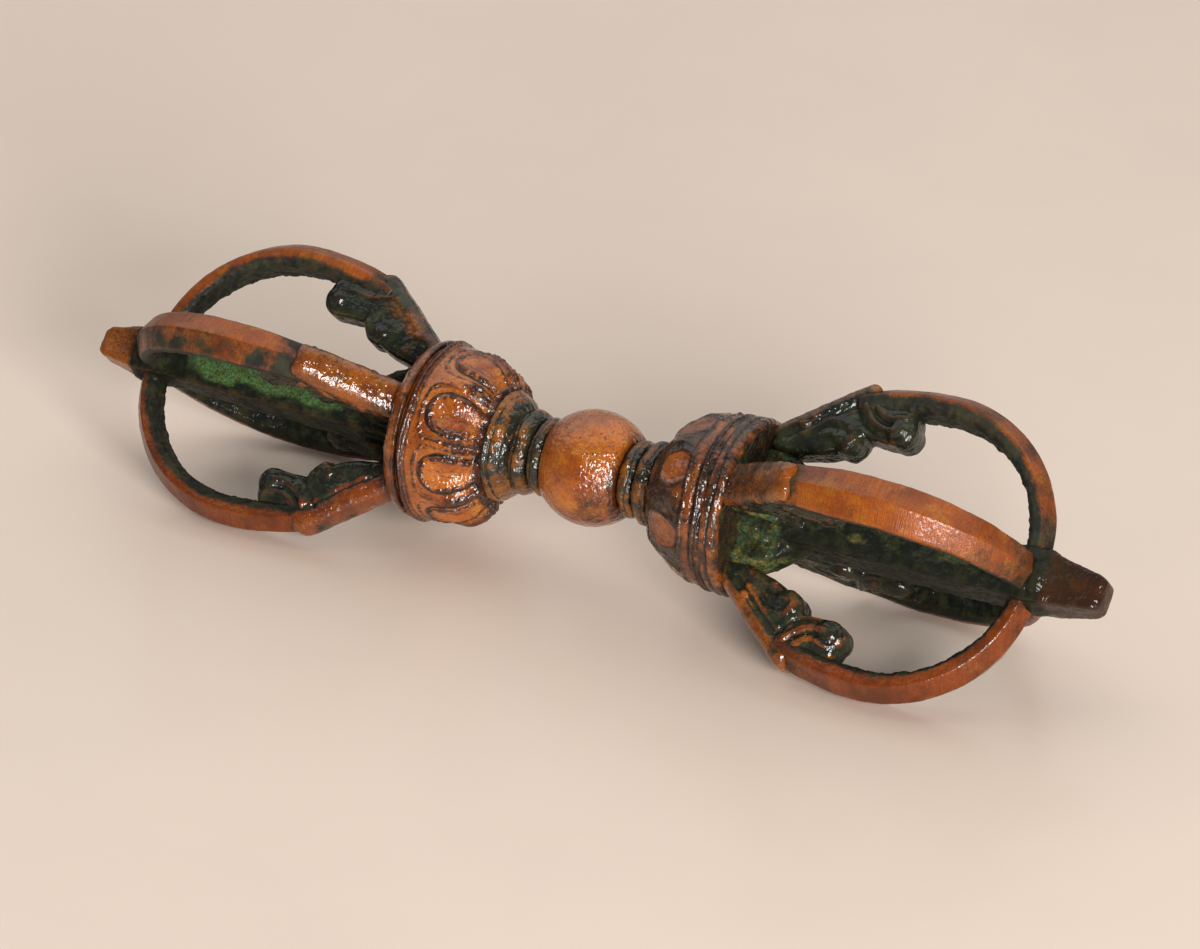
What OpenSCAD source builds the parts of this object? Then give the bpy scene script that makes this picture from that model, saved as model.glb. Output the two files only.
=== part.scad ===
/* [Overall] */
// Length from the hub centre to the left tip (mm)
left_half = 70; // [67:0.5:74]
// Length from the hub centre to the right tip (mm)
right_half = 70; // [67:0.5:74]

/* [Hub and neck] */
// Diameter of the hub ball (mm)
ball_d = 14.7; // [13.6:0.1:16]
// Distance of the flat on each side of the ball from its centre (mm)
ball_flat = 5.2; // [4.9:0.1:5.6]
// Width of the inner bead ring beside the ball (mm)
ring_in_w = 2.2; // [1.8:0.1:2.6]
// Outer diameter of the inner bead ring (mm)
ring_in_d = 10; // [9:0.2:11]
// Width of the outer bead ring (mm)
ring_out_w = 2.6; // [2.2:0.1:3]
// Outer diameter of the outer bead ring (mm)
ring_out_d = 10.9; // [10:0.1:12]
// Width of the collar that only the left neck has (mm)
collar_w = 2.2; // [1.8:0.1:3]
// Outer diameter of the collar (mm)
collar_d = 13.2; // [12:0.2:14]

/* [Lotus] */
// Largest diameter of the lotus cups (mm)
lotus_d = 22.6; // [22.2:0.2:24.6]
// Length of a lotus cup without its disc (mm)
lotus_len = 10.2; // [9.6:0.1:11]
// Thickness of the moon disc under the prongs (mm)
disc_t = 2.2; // [2:0.1:3]
// Number of petals around each cup
petals = 8; // [6:1:10]
// Width of one petal (mm)
petal_w = 6.4; // [4.5:0.1:6.8]
// How far a petal stands out of the cup (mm)
petal_h = 0.4; // [0.2:0.05:0.6]
// Radius of the left cup's shoulder (mm)
left_dome_r = 6.6; // [5:0.1:7.4]
// Radius of the right cup's slimmer shoulder (mm)
right_dome_r = 8.4; // [7.6:0.1:9]

/* [Prongs] */
// Distance of the left prong ridges from the axis (mm)
left_reach = 19; // [18.4:0.1:21]
// Distance of the right prong ridges from the axis (mm)
right_reach = 20.1; // [18.4:0.1:21]
// Width of the left prongs (mm)
left_prong_w = 5.2; // [4.8:0.1:6]
// Width of the right prongs (mm)
right_prong_w = 6; // [5:0.1:6.4]
// Height of the prong section at the crown (mm)
prong_h = 3.5; // [3.2:0.1:4]
// Height of the gable on the prong's outer face (mm)
ridge_h = 1.3; // [0.8:0.1:1.6]
// Distance from the disc to the crown of the prong (mm)
crown_t = 20.8; // [20:0.1:22]
// Radius of the ridge from the crown to the tip (mm)
bow_r = 18.2; // [17.4:0.1:18.6]
// Radius of the ridge from the root to the crown (mm)
root_r = 33; // [29:0.5:40]
// Width of the tip as a part of the full width
tip_taper = 0.8; // [0.7:0.02:1]

/* [Makara heads] */
// Width of a head as a part of its prong's width
head_share = 0.86; // [0.8:0.02:1]
// Distance from the disc to the end of the upper lip (mm)
lip_t = 10.2; // [9.6:0.1:10.6]
// How far the lip stands below the prong's crown (mm)
lip_drop = 0.85; // [0.7:0.05:1.2]
// How far the head's root lies below the prong's crown (mm)
root_drop = 9; // [8.6:0.1:9.4]
// Radius of the curled lobe at the end of the jaw (mm)
jaw_r = 2.05; // [1.8:0.05:2.1]
// Radius of the curled lobe under the throat (mm)
throat_r = 2.15; // [1.9:0.05:2.3]
// Radius of the roll at the end of the upper lip (mm)
lip_roll_r = 1.1; // [0.8:0.05:1.15]
// Diameter of the peg that holds a head in the disc (mm)
peg_d = 2.2; // [1.6:0.1:2.4]

/* [Central prongs] */
// Half width of the square prong at the disc (mm)
shaft_root = 3.6; // [3.4:0.05:3.8]
// Half width of the left prong where the outer prongs meet it (mm)
left_shaft = 2.7; // [2.5:0.05:3.2]
// Half width of the right prong where the outer prongs meet it (mm)
right_shaft = 3.35; // [2.9:0.05:3.5]
// Half width of the left tip (mm)
left_tip = 1.9; // [1.5:0.05:2.2]
// Half width of the right tip (mm)
right_tip = 2.2; // [1.6:0.05:2.4]
// Bevel around the end of each tip (mm)
tip_bevel = 0.4; // [0.2:0.05:0.6]
// Diameter of the hidden round tenon (mm)
tenon_d = 4.6; // [4:0.1:5]

/* [Fits] */
// Clearance all around pegs, tenons and tongues (mm)
fit_gap = 0.05; // [0.03:0.01:0.1]
// Clearance where a prong's end meets a head or the central prong (mm)
seat_gap = 0.04; // [0.02:0.01:0.1]

/* [Hidden] */
$fn = 96;
LEFT = 0;
RIGHT = 1;
half_len = [left_half, right_half];
reach = [left_reach, right_reach];
prong_w = [left_prong_w, right_prong_w];
shaft_seat = [left_shaft, right_shaft];
shaft_tip = [left_tip, right_tip];
dome_r = [left_dome_r, right_dome_r];
ring_in_x = ball_flat;
ring_out_x = ring_in_x + ring_in_w;
collar_x = ring_out_x + ring_out_w;
lotus_x = [collar_x + collar_w, collar_x];
disc_x = [for (e = [LEFT, RIGHT]) lotus_x[e] + lotus_len];
seat_x = [for (e = [LEFT, RIGHT]) disc_x[e] + disc_t];
lotus_r = lotus_d / 2;
bore_d = tenon_d + 2 * fit_gap;
neck_r = ring_out_d / 2 + 0.8;
peg_drop = 10.45;
peg_l = 1.5;
shoulder_drop = 12.8;
shoulder_l = 4.8;
shoulder_taper = 1.1;

// Long enough to cut or slice right across any prong
across = 4 * max(prong_w);

// The prong's ridge leaves the head at this distance from the disc
mouth_t = lip_t + 1.1;
mouth_lean = asin((crown_t - mouth_t) / root_r);
mouth_drop = root_r * (1 - cos(mouth_lean));
thin = 0.5;
tongue_w = 2.6;
tongue_h = 1.5;
tongue_l = 2.4;
tongue_drop = 0.2;

// The upper lip rises in a straight line from the root to the lip's end
lip_lean = atan2(root_drop - lip_drop, lip_t);
jaw_t = 15.6;
jaw_drop = jaw_r + 4.4;
throat_t = 8.9;
throat_drop = 8.7;

// The object lies on the lower edges of its four lower prongs
low = [for (e = [LEFT, RIGHT]) sin(45) * (reach[e] - ridge_h + prong_w[e] / 2)];
lean = asin((low[RIGHT] - low[LEFT]) / norm([
    seat_x[LEFT] + seat_x[RIGHT] + 2 * crown_t, low[RIGHT] - low[LEFT]]));
hub_z = low[RIGHT] * cos(lean) - (seat_x[RIGHT] + crown_t) * sin(lean);

// Lays the object down on its lower prongs, hub centre above the origin
module lay() {
    translate([0, 0, hub_z])
        rotate([0, -lean, 0])
            children();
}

// Places what is drawn outwards along +X at one end
module at_end(end) {
    lay()
        rotate([0, 0, end == LEFT ? 180 : 0])
            children();
}

// Places what is drawn with X along the axis, Y outwards and Z across a prong
module at_prong(end, quarter) {
    at_end(end)
        translate([seat_x[end], 0, 0])
            rotate([45 + 90 * quarter, 0, 0])
                children();
}

// Turns a profile drawn as radius and length about the axis
module turned() {
    rotate([0, 90, 0])
        rotate_extrude()
            children();
}

// A plain bore for the tenon through everything on the axis
module bore() {
    rotate([0, 90, 0])
        cylinder(d = bore_d, h = 4 * left_half, center = true);
}

// A round bead of this width and outer radius, from zero along the axis
module bead(width, radius) {
    translate([radius - width / 2, width / 2])
        circle(d = width);
    square([radius - width / 2, width]);
}

// Hub ball with two flats and the bore
module hub_ball() {
    color("#a5551f")
        lay()
            difference() {
                intersection() {
                    sphere(d = ball_d);
                    cube([2 * ball_flat, 2 * ball_d, 2 * ball_d], center = true);
                }
                bore();
            }
}

// One turned ring of the neck
module neck_ring(end, start, width, diameter) {
    color("#6b4a1e")
        at_end(end)
            difference() {
                translate([start, 0, 0])
                    turned()
                        bead(width, diameter / 2);
                bore();
            }
}

// The cup's bands, shoulder and neck, grown by this much
module cup_profile(end, grow) {
    r = dome_r[end];
    square([neck_r, lotus_len]);
    intersection() {
        translate([lotus_r - 0.3 - r, lotus_len - r])
            circle(r = r + grow);
        square([lotus_r + 1, lotus_len]);
    }
    square([lotus_r - 0.3 + grow, lotus_len - r]);
}

// A band that stands around the cup
module cup_band(from, width, radius) {
    translate([radius - width / 2, from + width / 2])
        circle(d = width);
    translate([0, from])
        square([radius - width / 2, width]);
}

// A petal seen from outside, with its round end towards the prongs
module petal_outline() {
    translate([0, 4.6 + petal_w / 2])
        circle(d = petal_w);
    translate([-petal_w * 0.44, 4.6 + petal_w / 2])
        square([petal_w * 0.88, lotus_len]);
}

// Lotus cup with two bands, a groove between them and a ring of petals
module lotus(end) {
    color("#a8571f")
        at_end(end)
            translate([disc_x[end], 0, 0])
                difference() {
                    union() {
                        rotate([0, 180, 0])
                            turned()
                                difference() {
                                    union() {
                                        cup_profile(end, 0);
                                        cup_band(0, 2, lotus_r);
                                        cup_band(2.2, 1.7, lotus_r - 0.1);
                                    }
                                    for (a = [2.1, 4.2])
                                        translate([lotus_r - 0.1, a])
                                            circle(r = 0.5);
                                }
                        intersection() {
                            rotate([0, 180, 0])
                                turned()
                                    cup_profile(end, petal_h);
                            for (p = [0 : petals - 1])
                                rotate([p * 360 / petals, 0, 0])
                                    rotate([0, 90, 0])
                                        rotate([-90, 0, 0])
                                            translate([0, 0, neck_r - 0.2])
                                                linear_extrude(lotus_r)
                                                    petal_outline();
                        }
                    }
                    bore();
                }
}

// Moon disc with a round rim, the bore and four blind holes for the heads
module moon_disc(end) {
    color("#5a4a26")
        at_end(end)
            difference() {
                translate([disc_x[end], 0, 0])
                    turned()
                        bead(disc_t, lotus_r);
                bore();
                for (k = [0 : 3])
                    translate([seat_x[end], 0, 0])
                        rotate([45 + 90 * k, 0, 0])
                            translate([0, peg_r(end), 0])
                                peg(2 * fit_gap);
            }
}

function peg_r(end) = reach[end] - peg_drop;

// The peg of a head, grown by this much all around
module peg(grow) {
    translate([-peg_l - grow / 2, 0, 0])
        rotate([0, 90, 0])
            cylinder(d = peg_d + grow, h = peg_l + 1 + grow / 2);
}

// Half of the central prong's side view, from the disc to the tip
function shaft_side(end) = let (tip = half_len[end] - seat_x[end], a = shaft_seat[end], c = shaft_tip[end]) [
    [0, shaft_root],
    [bow_t() - 4.4, a],
    [bow_t() + 0.9, a],
    [tip - tip_bevel * 1.2, c],
    [tip, c - tip_bevel]
];

// Distance from the disc to the outermost point of a prong
function bow_t() = crown_t + bow_r;

// Extrudes the shaft's side view across the prong
module shaft_slab(end) {
    side = shaft_side(end);
    linear_extrude(4 * shaft_root, center = true)
        polygon(concat(side, [for (i = [len(side) - 1 : -1 : 0]) [side[i].x, -side[i].y]]));
}

// Square central prong with a shoulder on the disc and a round tenon into the hub
module central_prong(end) {
    color("#4d4a24")
        at_end(end) {
            translate([0.4, 0, 0])
                rotate([0, 90, 0])
                    cylinder(d = tenon_d, h = seat_x[end]);
            translate([seat_x[end], 0, 0]) {
                rotate([0, 90, 0])
                    cylinder(
                        r1 = reach[end] - shoulder_drop,
                        r2 = reach[end] - shoulder_drop - shoulder_taper,
                        h = shoulder_l);
                rotate([45, 0, 0])
                    intersection() {
                        shaft_slab(end);
                        rotate([90, 0, 0])
                            shaft_slab(end);
                    }
            }
        }
}

// The prong's gabled section, seen along the prong, with its ridge at this radius
module gable(radius, width, height) {
    polygon([
        [radius - height, -width / 2 + 0.7],
        [radius - height + 0.7, -width / 2],
        [radius - ridge_h, -width / 2],
        [radius, 0],
        [radius - ridge_h, width / 2],
        [radius - height + 0.7, width / 2],
        [radius - height, width / 2 - 0.7]
    ]);
}

// The prong's two tangent bows, from the head to the central prong
module bows(end) {
    w = prong_w[end];
    translate([crown_t, reach[end] - bow_r, 0])
        rotate_extrude(start = 0, angle = 90)
            gable(bow_r, w, prong_h);
    translate([crown_t, reach[end] - root_r, 0])
        rotate_extrude(start = 90, angle = mouth_lean + 6)
            gable(root_r, w, prong_h);
}

// The prong seen from outside, narrower at its root and its tip
module prong_plan(end) {
    w = prong_w[end];
    polygon([
        [mouth_t + seat_gap, -w * 0.44], [mouth_t + 6, -w / 2],
        [crown_t + 2, -w / 2], [bow_t() + 1, -w / 2 * tip_taper],
        [bow_t() + 1, w / 2 * tip_taper], [crown_t + 2, w / 2],
        [mouth_t + 6, w / 2], [mouth_t + seat_gap, w * 0.44]
    ]);
}

// The tongue at a prong's root that sits in the head's mouth, grown by this much
module tongue(end, grow) {
    translate([mouth_t, reach[end] - mouth_drop - prong_h / 2 - tongue_drop, 0])
        rotate([0, 0, mouth_lean])
            translate([-tongue_l - grow, -tongue_h / 2 - grow, -tongue_w / 2 - grow])
                cube([tongue_l + 1.2, tongue_h + 2 * grow, tongue_w + 2 * grow]);
}

// Curved outer prong
module prong(end, quarter) {
    color("#9c4f1e")
        at_prong(end, quarter) {
            difference() {
                intersection() {
                    bows(end);
                    rotate([-90, 0, 0])
                        linear_extrude(3 * reach[end], center = true)
                            prong_plan(end);
                }
                translate([crown_t + thin, reach[end] - bow_r - thin, 0])
                    cylinder(r = bow_r - prong_h + thin + 0.2, h = across, center = true);
                translate([0, shaft_seat[end] + seat_gap - across, -across / 2])
                    cube([3 * bow_r, across, across]);
            }
            tongue(end, 0);
        }
}

// Side view of a head without its lip: throat, jaw and the two curled lobes
module head_side(end) {
    r = reach[end];
    jaw_low = r - jaw_drop - jaw_r;
    difference() {
        union() {
            polygon([
                [0, r - 11.8], [2.2, r - 12.5], [6.9, r - 11.6], [mouth_t, r - 9.2],
                [mouth_t, r - mouth_drop - ridge_h - 0.2], [lip_t * 0.75, r - lip_drop - 3.6],
                [0, r - root_drop - 1.5]
            ]);
            translate([throat_t, r - throat_drop])
                circle(r = throat_r);
            translate([jaw_t, r - jaw_drop])
                circle(r = jaw_r);
            polygon([
                [mouth_t - 1, jaw_low + 0.2], [jaw_t, jaw_low],
                [jaw_t, r - jaw_drop + jaw_r],
                [mouth_t, r - mouth_drop - prong_h - 0.25], [mouth_t - 1, r - mouth_drop - prong_h - 0.4]
            ]);
        }
        translate([mouth_t + 0.6, jaw_low - 0.5])
            circle(r = 0.9);
    }
}

// A drum across the head with rounded cheeks
module drum(radius, width) {
    intersection() {
        cylinder(r = radius, h = width, center = true);
        sphere(r = norm([radius, width / 2]) - 0.45);
    }
}

// A curled lobe of the head: a drum with an eye on each side
module curl(radius, width) {
    difference() {
        drum(radius, width);
        for (s = [-1, 1])
            translate([0, 0, s * width / 2])
                sphere(r = radius * 0.42);
    }
}

// The upper lip: a gabled bar that rises from the disc and rolls over at its end
module upper_lip(end, width) {
    r = reach[end];
    intersection() {
        translate([lip_t, r - lip_drop, 0])
            rotate([0, 0, lip_lean])
                rotate([0, -90, 0])
                    linear_extrude(3 * lip_t)
                        polygon([
                            [-width / 2, -2.6], [-width / 2, -0.9], [0, 0],
                            [width / 2, -0.9], [width / 2, -2.6]
                        ]);
        translate([0, 0, -across / 2])
            cube([mouth_t, 2 * r, across]);
    }
}

// Makara head: lip, jaw, curled lobes, eyes and the peg into the disc
module makara(end, quarter) {
    w = prong_w[end] * head_share;
    r = reach[end];
    color("#3f4326")
        at_prong(end, quarter)
            difference() {
                union() {
                    upper_lip(end, w);
                    translate([lip_t - 0.35, r - lip_drop - lip_roll_r - 0.3, 0])
                        drum(lip_roll_r, w);
                    linear_extrude(w * 0.84, center = true)
                        head_side(end);
                    translate([jaw_t, r - jaw_drop, 0])
                        curl(jaw_r, w);
                    translate([throat_t, r - throat_drop, 0])
                        curl(throat_r, w);
                    for (s = [-1, 1])
                        translate([5.2, r - 9.8, s * w * 0.3])
                            sphere(r = 1.35);
                    translate([0, peg_r(end), 0])
                        peg(0);
                }
                tongue(end, fit_gap);
            }
}

hub_ball();
neck_ring(LEFT, ring_in_x, ring_in_w, ring_in_d);  // ring_inner_left
neck_ring(RIGHT, ring_in_x, ring_in_w, ring_in_d);  // ring_inner_right
neck_ring(LEFT, ring_out_x, ring_out_w, ring_out_d);  // ring_outer_left
neck_ring(RIGHT, ring_out_x, ring_out_w, ring_out_d);  // ring_outer_right
neck_ring(LEFT, collar_x, collar_w, collar_d);  // collar_left
lotus(LEFT);  // lotus_left
lotus(RIGHT);  // lotus_right
moon_disc(LEFT);  // moon_disc_left
moon_disc(RIGHT);  // moon_disc_right
central_prong(LEFT);  // central_prong_left
central_prong(RIGHT);  // central_prong_right
makara(LEFT, 0);  // makara_left_upper_front
makara(LEFT, 1);  // makara_left_upper_back
makara(LEFT, 2);  // makara_left_lower_back
makara(LEFT, 3);  // makara_left_lower_front
makara(RIGHT, 0);  // makara_right_upper_back
makara(RIGHT, 1);  // makara_right_upper_front
makara(RIGHT, 2);  // makara_right_lower_front
makara(RIGHT, 3);  // makara_right_lower_back
prong(LEFT, 0);  // prong_left_upper_front
prong(LEFT, 1);  // prong_left_upper_back
prong(LEFT, 2);  // prong_left_lower_back
prong(LEFT, 3);  // prong_left_lower_front
prong(RIGHT, 0);  // prong_right_upper_back
prong(RIGHT, 1);  // prong_right_upper_front
prong(RIGHT, 2);  // prong_right_lower_front
prong(RIGHT, 3);  // prong_right_lower_back
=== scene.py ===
"""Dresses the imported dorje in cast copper, and sets the floor, the light and the camera."""

from __future__ import annotations

import logging
import math
from collections.abc import Callable, Iterable
from dataclasses import dataclass, replace
from enum import Enum
from functools import partialmethod

import bmesh
import bpy
import numpy as np
from mathutils import Matrix, Vector

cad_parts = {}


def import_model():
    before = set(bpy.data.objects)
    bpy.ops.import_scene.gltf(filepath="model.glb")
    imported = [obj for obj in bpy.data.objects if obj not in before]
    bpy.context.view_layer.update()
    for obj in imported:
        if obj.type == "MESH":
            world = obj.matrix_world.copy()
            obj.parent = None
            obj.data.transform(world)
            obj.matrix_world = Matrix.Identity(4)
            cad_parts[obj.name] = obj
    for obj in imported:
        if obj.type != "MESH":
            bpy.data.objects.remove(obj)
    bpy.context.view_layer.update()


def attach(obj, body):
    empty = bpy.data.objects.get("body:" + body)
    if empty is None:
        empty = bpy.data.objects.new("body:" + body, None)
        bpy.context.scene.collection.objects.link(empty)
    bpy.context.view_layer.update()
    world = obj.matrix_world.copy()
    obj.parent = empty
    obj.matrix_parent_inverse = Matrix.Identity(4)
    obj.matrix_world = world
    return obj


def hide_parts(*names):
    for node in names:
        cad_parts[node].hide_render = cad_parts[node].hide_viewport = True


LOG = logging.getLogger("dorje")
MM = 0.001
Array = np.ndarray
Triple = tuple[float, float, float]
Pair = tuple[float, float]
Masks = dict[str, Array]
Carving = tuple[Array, Array]
Relief = Callable[[Array, Array, Array], Carving]
BMesh = bmesh.types.BMesh
Material = bpy.types.Material
Socket = bpy.types.NodeSocket

FIELD_SHIFT = np.array((17.3, 5.1, 9.7))
FIELD_GAIN = 1.4
OCTAVE_SHIFT = 3.7
OCTAVE_SHARE = 0.55
HASH_KEYS = np.array((73856093, 19349663, 83492791))
HASH_ROUNDS = ((13, 1274126177), (15, 668265263))
HASH_MASK = 0x7FFFFFFF
CORNER_CUTS = 2


class End(Enum):
    """The two ends of the dorje."""

    LEFT = "left"
    RIGHT = "right"


class Slot(Enum):
    """The material slots of the record."""

    POLISHED = "polished_copper"
    DARK = "dark_copper"
    GREEN = "green_patina"


def smooth_step(low: float, high: float, x: Array) -> Array:
    """Rises smoothly from 0 at low to 1 at high; high may be the lower of the two."""
    t = np.clip((x - low) / (high - low), 0.0, 1.0)
    return t * t * (3.0 - 2.0 * t)


def bump(x: Array, centre: float | Array, width: float | Array) -> Array:
    """Gives a bell of height 1 around a centre, with a half width."""
    return np.exp(-(((x - centre) / width) ** 2))


def roughness_of(points: Array, wave: float, seed: float, octaves: int = 3) -> Array:
    """Samples a smooth random field at some points.

    Args:
        points: Points in mm.
        wave: The longest wave of the field in mm.
        seed: A shift that picks another stretch of the field.
        octaves: How many finer waves are added.

    Returns:
        One value for each point, about -1 to 1.
    """
    total = np.zeros(len(points))
    for k in range(octaves):
        place = points * (2.0**k / wave) + FIELD_SHIFT * (seed + OCTAVE_SHIFT * k)
        cell = np.floor(place).astype(np.int64)
        part = place - cell
        ease = part**3 * (part * (part * 6.0 - 15.0) + 10.0)
        for corner in np.ndindex(2, 2, 2):
            key = (cell + corner) @ HASH_KEYS
            for shift, factor in HASH_ROUNDS:
                key = (key ^ (key >> shift)) * factor & HASH_MASK
            slope = np.stack([key & 1023, key >> 10 & 1023, key >> 20 & 1023], 1) / 511.5 - 1.0
            share = np.where(corner, ease, 1.0 - ease).prod(1)
            total += OCTAVE_SHARE**k * share * (slope * (part - corner)).sum(1)
    return FIELD_GAIN * total


def away_from(points: Array, line: tuple[Pair, ...]) -> Array:
    """Measures how far points lie from a smoothed line.

    Args:
        points: Points as two columns, in mm.
        line: The line's corners.

    Returns:
        The shortest distance of each point.
    """
    path = [np.array(p, float) for p in line]
    for _ in range(CORNER_CUTS):
        cut = [q for a, b in zip(path, path[1:]) for q in (0.75 * a + 0.25 * b, 0.25 * a + 0.75 * b)]
        path = [path[0], *cut, path[-1]]
    best = np.full(len(points), np.inf)
    for a, b in zip(path, path[1:]):
        run = b - a
        share = np.clip(((points - a) @ run) / max(float(run @ run), 1e-9), 0.0, 1.0)
        best = np.minimum(best, np.linalg.norm(points - a - share[:, None] * run, axis=1))
    return best

def linked(name: str, data: bpy.types.ID) -> bpy.types.Object:
    """Makes an object and links it to the scene.

    Args:
        name: The object's name.
        data: Its mesh, lamp or camera.

    Returns:
        The object.
    """
    made = bpy.data.objects.new(name, data)
    bpy.context.scene.collection.objects.link(made)
    return made


@dataclass(frozen=True)
class EndSizes:
    """The sizes in mm that differ between the two ends."""

    half: float
    neck: float
    disc: float
    seat: float
    dome: float
    reach: float
    prong: float
    shaft: float
    tip: float


SIZES: dict[End, EndSizes] = {
    End.LEFT: EndSizes(70.0, 12.2, 22.4, 24.6, 6.6, 19.0, 5.2, 2.7, 1.9),
    End.RIGHT: EndSizes(70.0, 10.0, 20.2, 22.4, 8.4, 20.1, 6.0, 3.35, 2.2),
}
QUARTERS: dict[End, tuple[str, ...]] = {
    End.LEFT: ("upper_front", "upper_back", "lower_back", "lower_front"),
    End.RIGHT: ("upper_back", "upper_front", "lower_front", "lower_back"),
}


@dataclass(frozen=True)
class Layout:
    """How the object lies on its lower prongs."""

    hub_z: float = 14.8967
    lean: float = 0.68587

    def along(self, end: End) -> Matrix:
        """Gives the matrix from an end's own mm, outwards along +X, to the scene's metres."""
        turn = 180.0 if end is End.LEFT else 0.0
        return (
            Matrix.Scale(MM, 4)
            @ Matrix.Translation((0.0, 0.0, self.hub_z))
            @ Matrix.Rotation(math.radians(-self.lean), 4, "Y")
            @ Matrix.Rotation(math.radians(turn), 4, "Z")
        )

    def prong(self, end: End, quarter: int) -> Matrix:
        """Gives the matrix from a prong's own mm, with Y outwards and Z across, to the scene's metres."""
        return (
            self.along(end)
            @ Matrix.Translation((SIZES[end].seat, 0.0, 0.0))
            @ Matrix.Rotation(math.radians(45.0 + 90.0 * quarter), 4, "X")
        )


class Graph:
    """Short ways to add nodes to one material."""

    def __init__(self, name: str) -> None:
        """Starts a material with only its output.

        Args:
            name: The material's name.
        """
        self.material = bpy.data.materials.new(name)
        self.material.use_nodes = True
        self.tree = self.material.node_tree
        self.tree.nodes.clear()
        self.output = self.node("OutputMaterial")
        self.mm = self.scaled(self.node("TexCoord").outputs["Object"], (1.0 / MM, 1.0 / MM, 1.0 / MM))

    def node(self, kind: str, inputs: dict[str | int, object] | None = None) -> bpy.types.Node:
        """Adds a node and fills some of its inputs.

        Args:
            kind: The node's type, without its prefix.
            inputs: A value or a socket for each of those inputs.

        Returns:
            The node.
        """
        node = self.tree.nodes.new(f"ShaderNode{kind}")
        for name, value in (inputs or {}).items():
            self.put(node.inputs[name], value)
        return node

    def put(self, socket: Socket, value: object) -> None:
        """Links a socket to another or sets its value.

        Args:
            socket: The input to fill.
            value: The other socket, or the value.
        """
        if isinstance(value, Socket):
            self.tree.links.new(value, socket)
        else:
            socket.default_value = value

    def scaled(self, vector: Socket, scale: Triple) -> Socket:
        """Stretches a vector along each axis."""
        return self.node("Mapping", {"Vector": vector, "Scale": scale}).outputs["Vector"]

    def math(self, operation: str, a: object, b: object, clamp: bool = False) -> Socket:
        """Adds a Math node.

        Args:
            operation: The node's operation.
            a: The first value or socket.
            b: The second value or socket.
            clamp: Whether the result is held between 0 and 1.

        Returns:
            The result's socket.
        """
        node = self.node("Math", {0: a, 1: b})
        node.operation = operation
        node.use_clamp = clamp
        return node.outputs[0]

    plus = partialmethod(math, "ADD")
    minus = partialmethod(math, "SUBTRACT")
    times = partialmethod(math, "MULTIPLY")
    most = partialmethod(math, "MAXIMUM")

    def step(self, value: Socket, low: float, high: float, out: Pair = (0.0, 1.0)) -> Socket:
        """Adds a smooth rise between two values.

        Args:
            value: The socket to map.
            low: Where the rise starts.
            high: Where the rise ends.
            out: The results before and after the rise.

        Returns:
            The result's socket.
        """
        ends = {"From Min": low, "From Max": high, "To Min": out[0], "To Max": out[1]}
        node = self.node("MapRange", {"Value": value, **ends})
        node.interpolation_type = "SMOOTHSTEP"
        return node.outputs["Result"]

    def mix(self, share: object, a: object, b: object) -> Socket:
        """Mixes two colours.

        Args:
            share: How much of the second colour shows.
            a: The first colour or socket.
            b: The second colour or socket.

        Returns:
            The mixed colour's socket.
        """
        node = self.node("Mix")
        node.data_type = "RGBA"
        self.put(node.inputs[0], share)
        for socket, value in ((node.inputs[6], a), (node.inputs[7], b)):
            self.put(socket, (*value, 1.0) if isinstance(value, tuple) else value)
        return node.outputs[2]

    def noise(self, scale: float, detail: float, rough: float = 0.6, stretch: Triple | None = None) -> Socket:
        """Adds a noise in waves per mm.

        Args:
            scale: Waves per mm.
            detail: How many finer waves are added.
            rough: How strong the finer waves are.
            stretch: A scale along each axis, for streaks.

        Returns:
            The noise's socket, about 0.5 on average.
        """
        vector = self.scaled(self.mm, stretch) if stretch else self.mm
        inputs = {"Vector": vector, "Scale": scale, "Detail": detail, "Roughness": rough}
        return self.node("TexNoise", inputs).outputs[0]

    def layer(self, name: str) -> Socket:
        """Reads one of the mesh's own layers.

        Args:
            name: The layer's name.

        Returns:
            The layer's socket.
        """
        node = self.node("Attribute")
        node.attribute_name = name
        return node.outputs["Fac"]

    def relief(self, strength: float, depth: float, height: Socket) -> Socket:
        """Bends normals by a height, where a height of 1 stands for a depth in mm."""
        inputs = {"Strength": strength, "Distance": depth * MM, "Height": height}
        return self.node("Bump", inputs).outputs["Normal"]

    def surface(self, inputs: dict[str, object]) -> Material:
        """Ends the material in one shader with these inputs, and hands it out."""
        self.put(self.output.inputs["Surface"], self.node("BsdfPrincipled", inputs).outputs["BSDF"])
        return self.material


NOISES: dict[str, tuple] = {
    "cloud": (0.2, 4.0), "grain": (1.3, 6.0, 0.65), "fine": (3.4, 3.0, 0.65), "speck": (3.1, 1.0, 0.5),
    "patch": (0.45, 3.0), "tint": (0.33, 3.0), "bloom": (0.8, 6.0, 0.7), "growth": (0.7, 4.0, 0.65),
    "marks": (1.0, 2.0, 0.5, (7.0, 0.35, 0.35)), "beads": (1.6, 2.0, 0.5),
    "runs": (1.0, 1.0, 0.5, (2.1, 1.2, 1.2)),
}
STEPS: dict[str, tuple] = {
    "dark": (0.16, 0.88), "groove": (0.53, 0.70), "edge": (0.46, 0.30, (0.0, 0.18)), "pit": (0.80, 0.87),
    "deep": (0.36, 0.66), "gold": (0.50, 0.68, (0.0, 0.7)), "fine": (0.42, 0.68, (0.0, 0.6)),
    "marks": (0.44, 0.64, (0.0, 0.6)), "olive": (0.42, 0.68), "green": (0.36, 1.02), "moss": (0.43, 0.59),
    "crumbs": (0.36, 0.62, (0.68, 0.05)),
}


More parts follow.
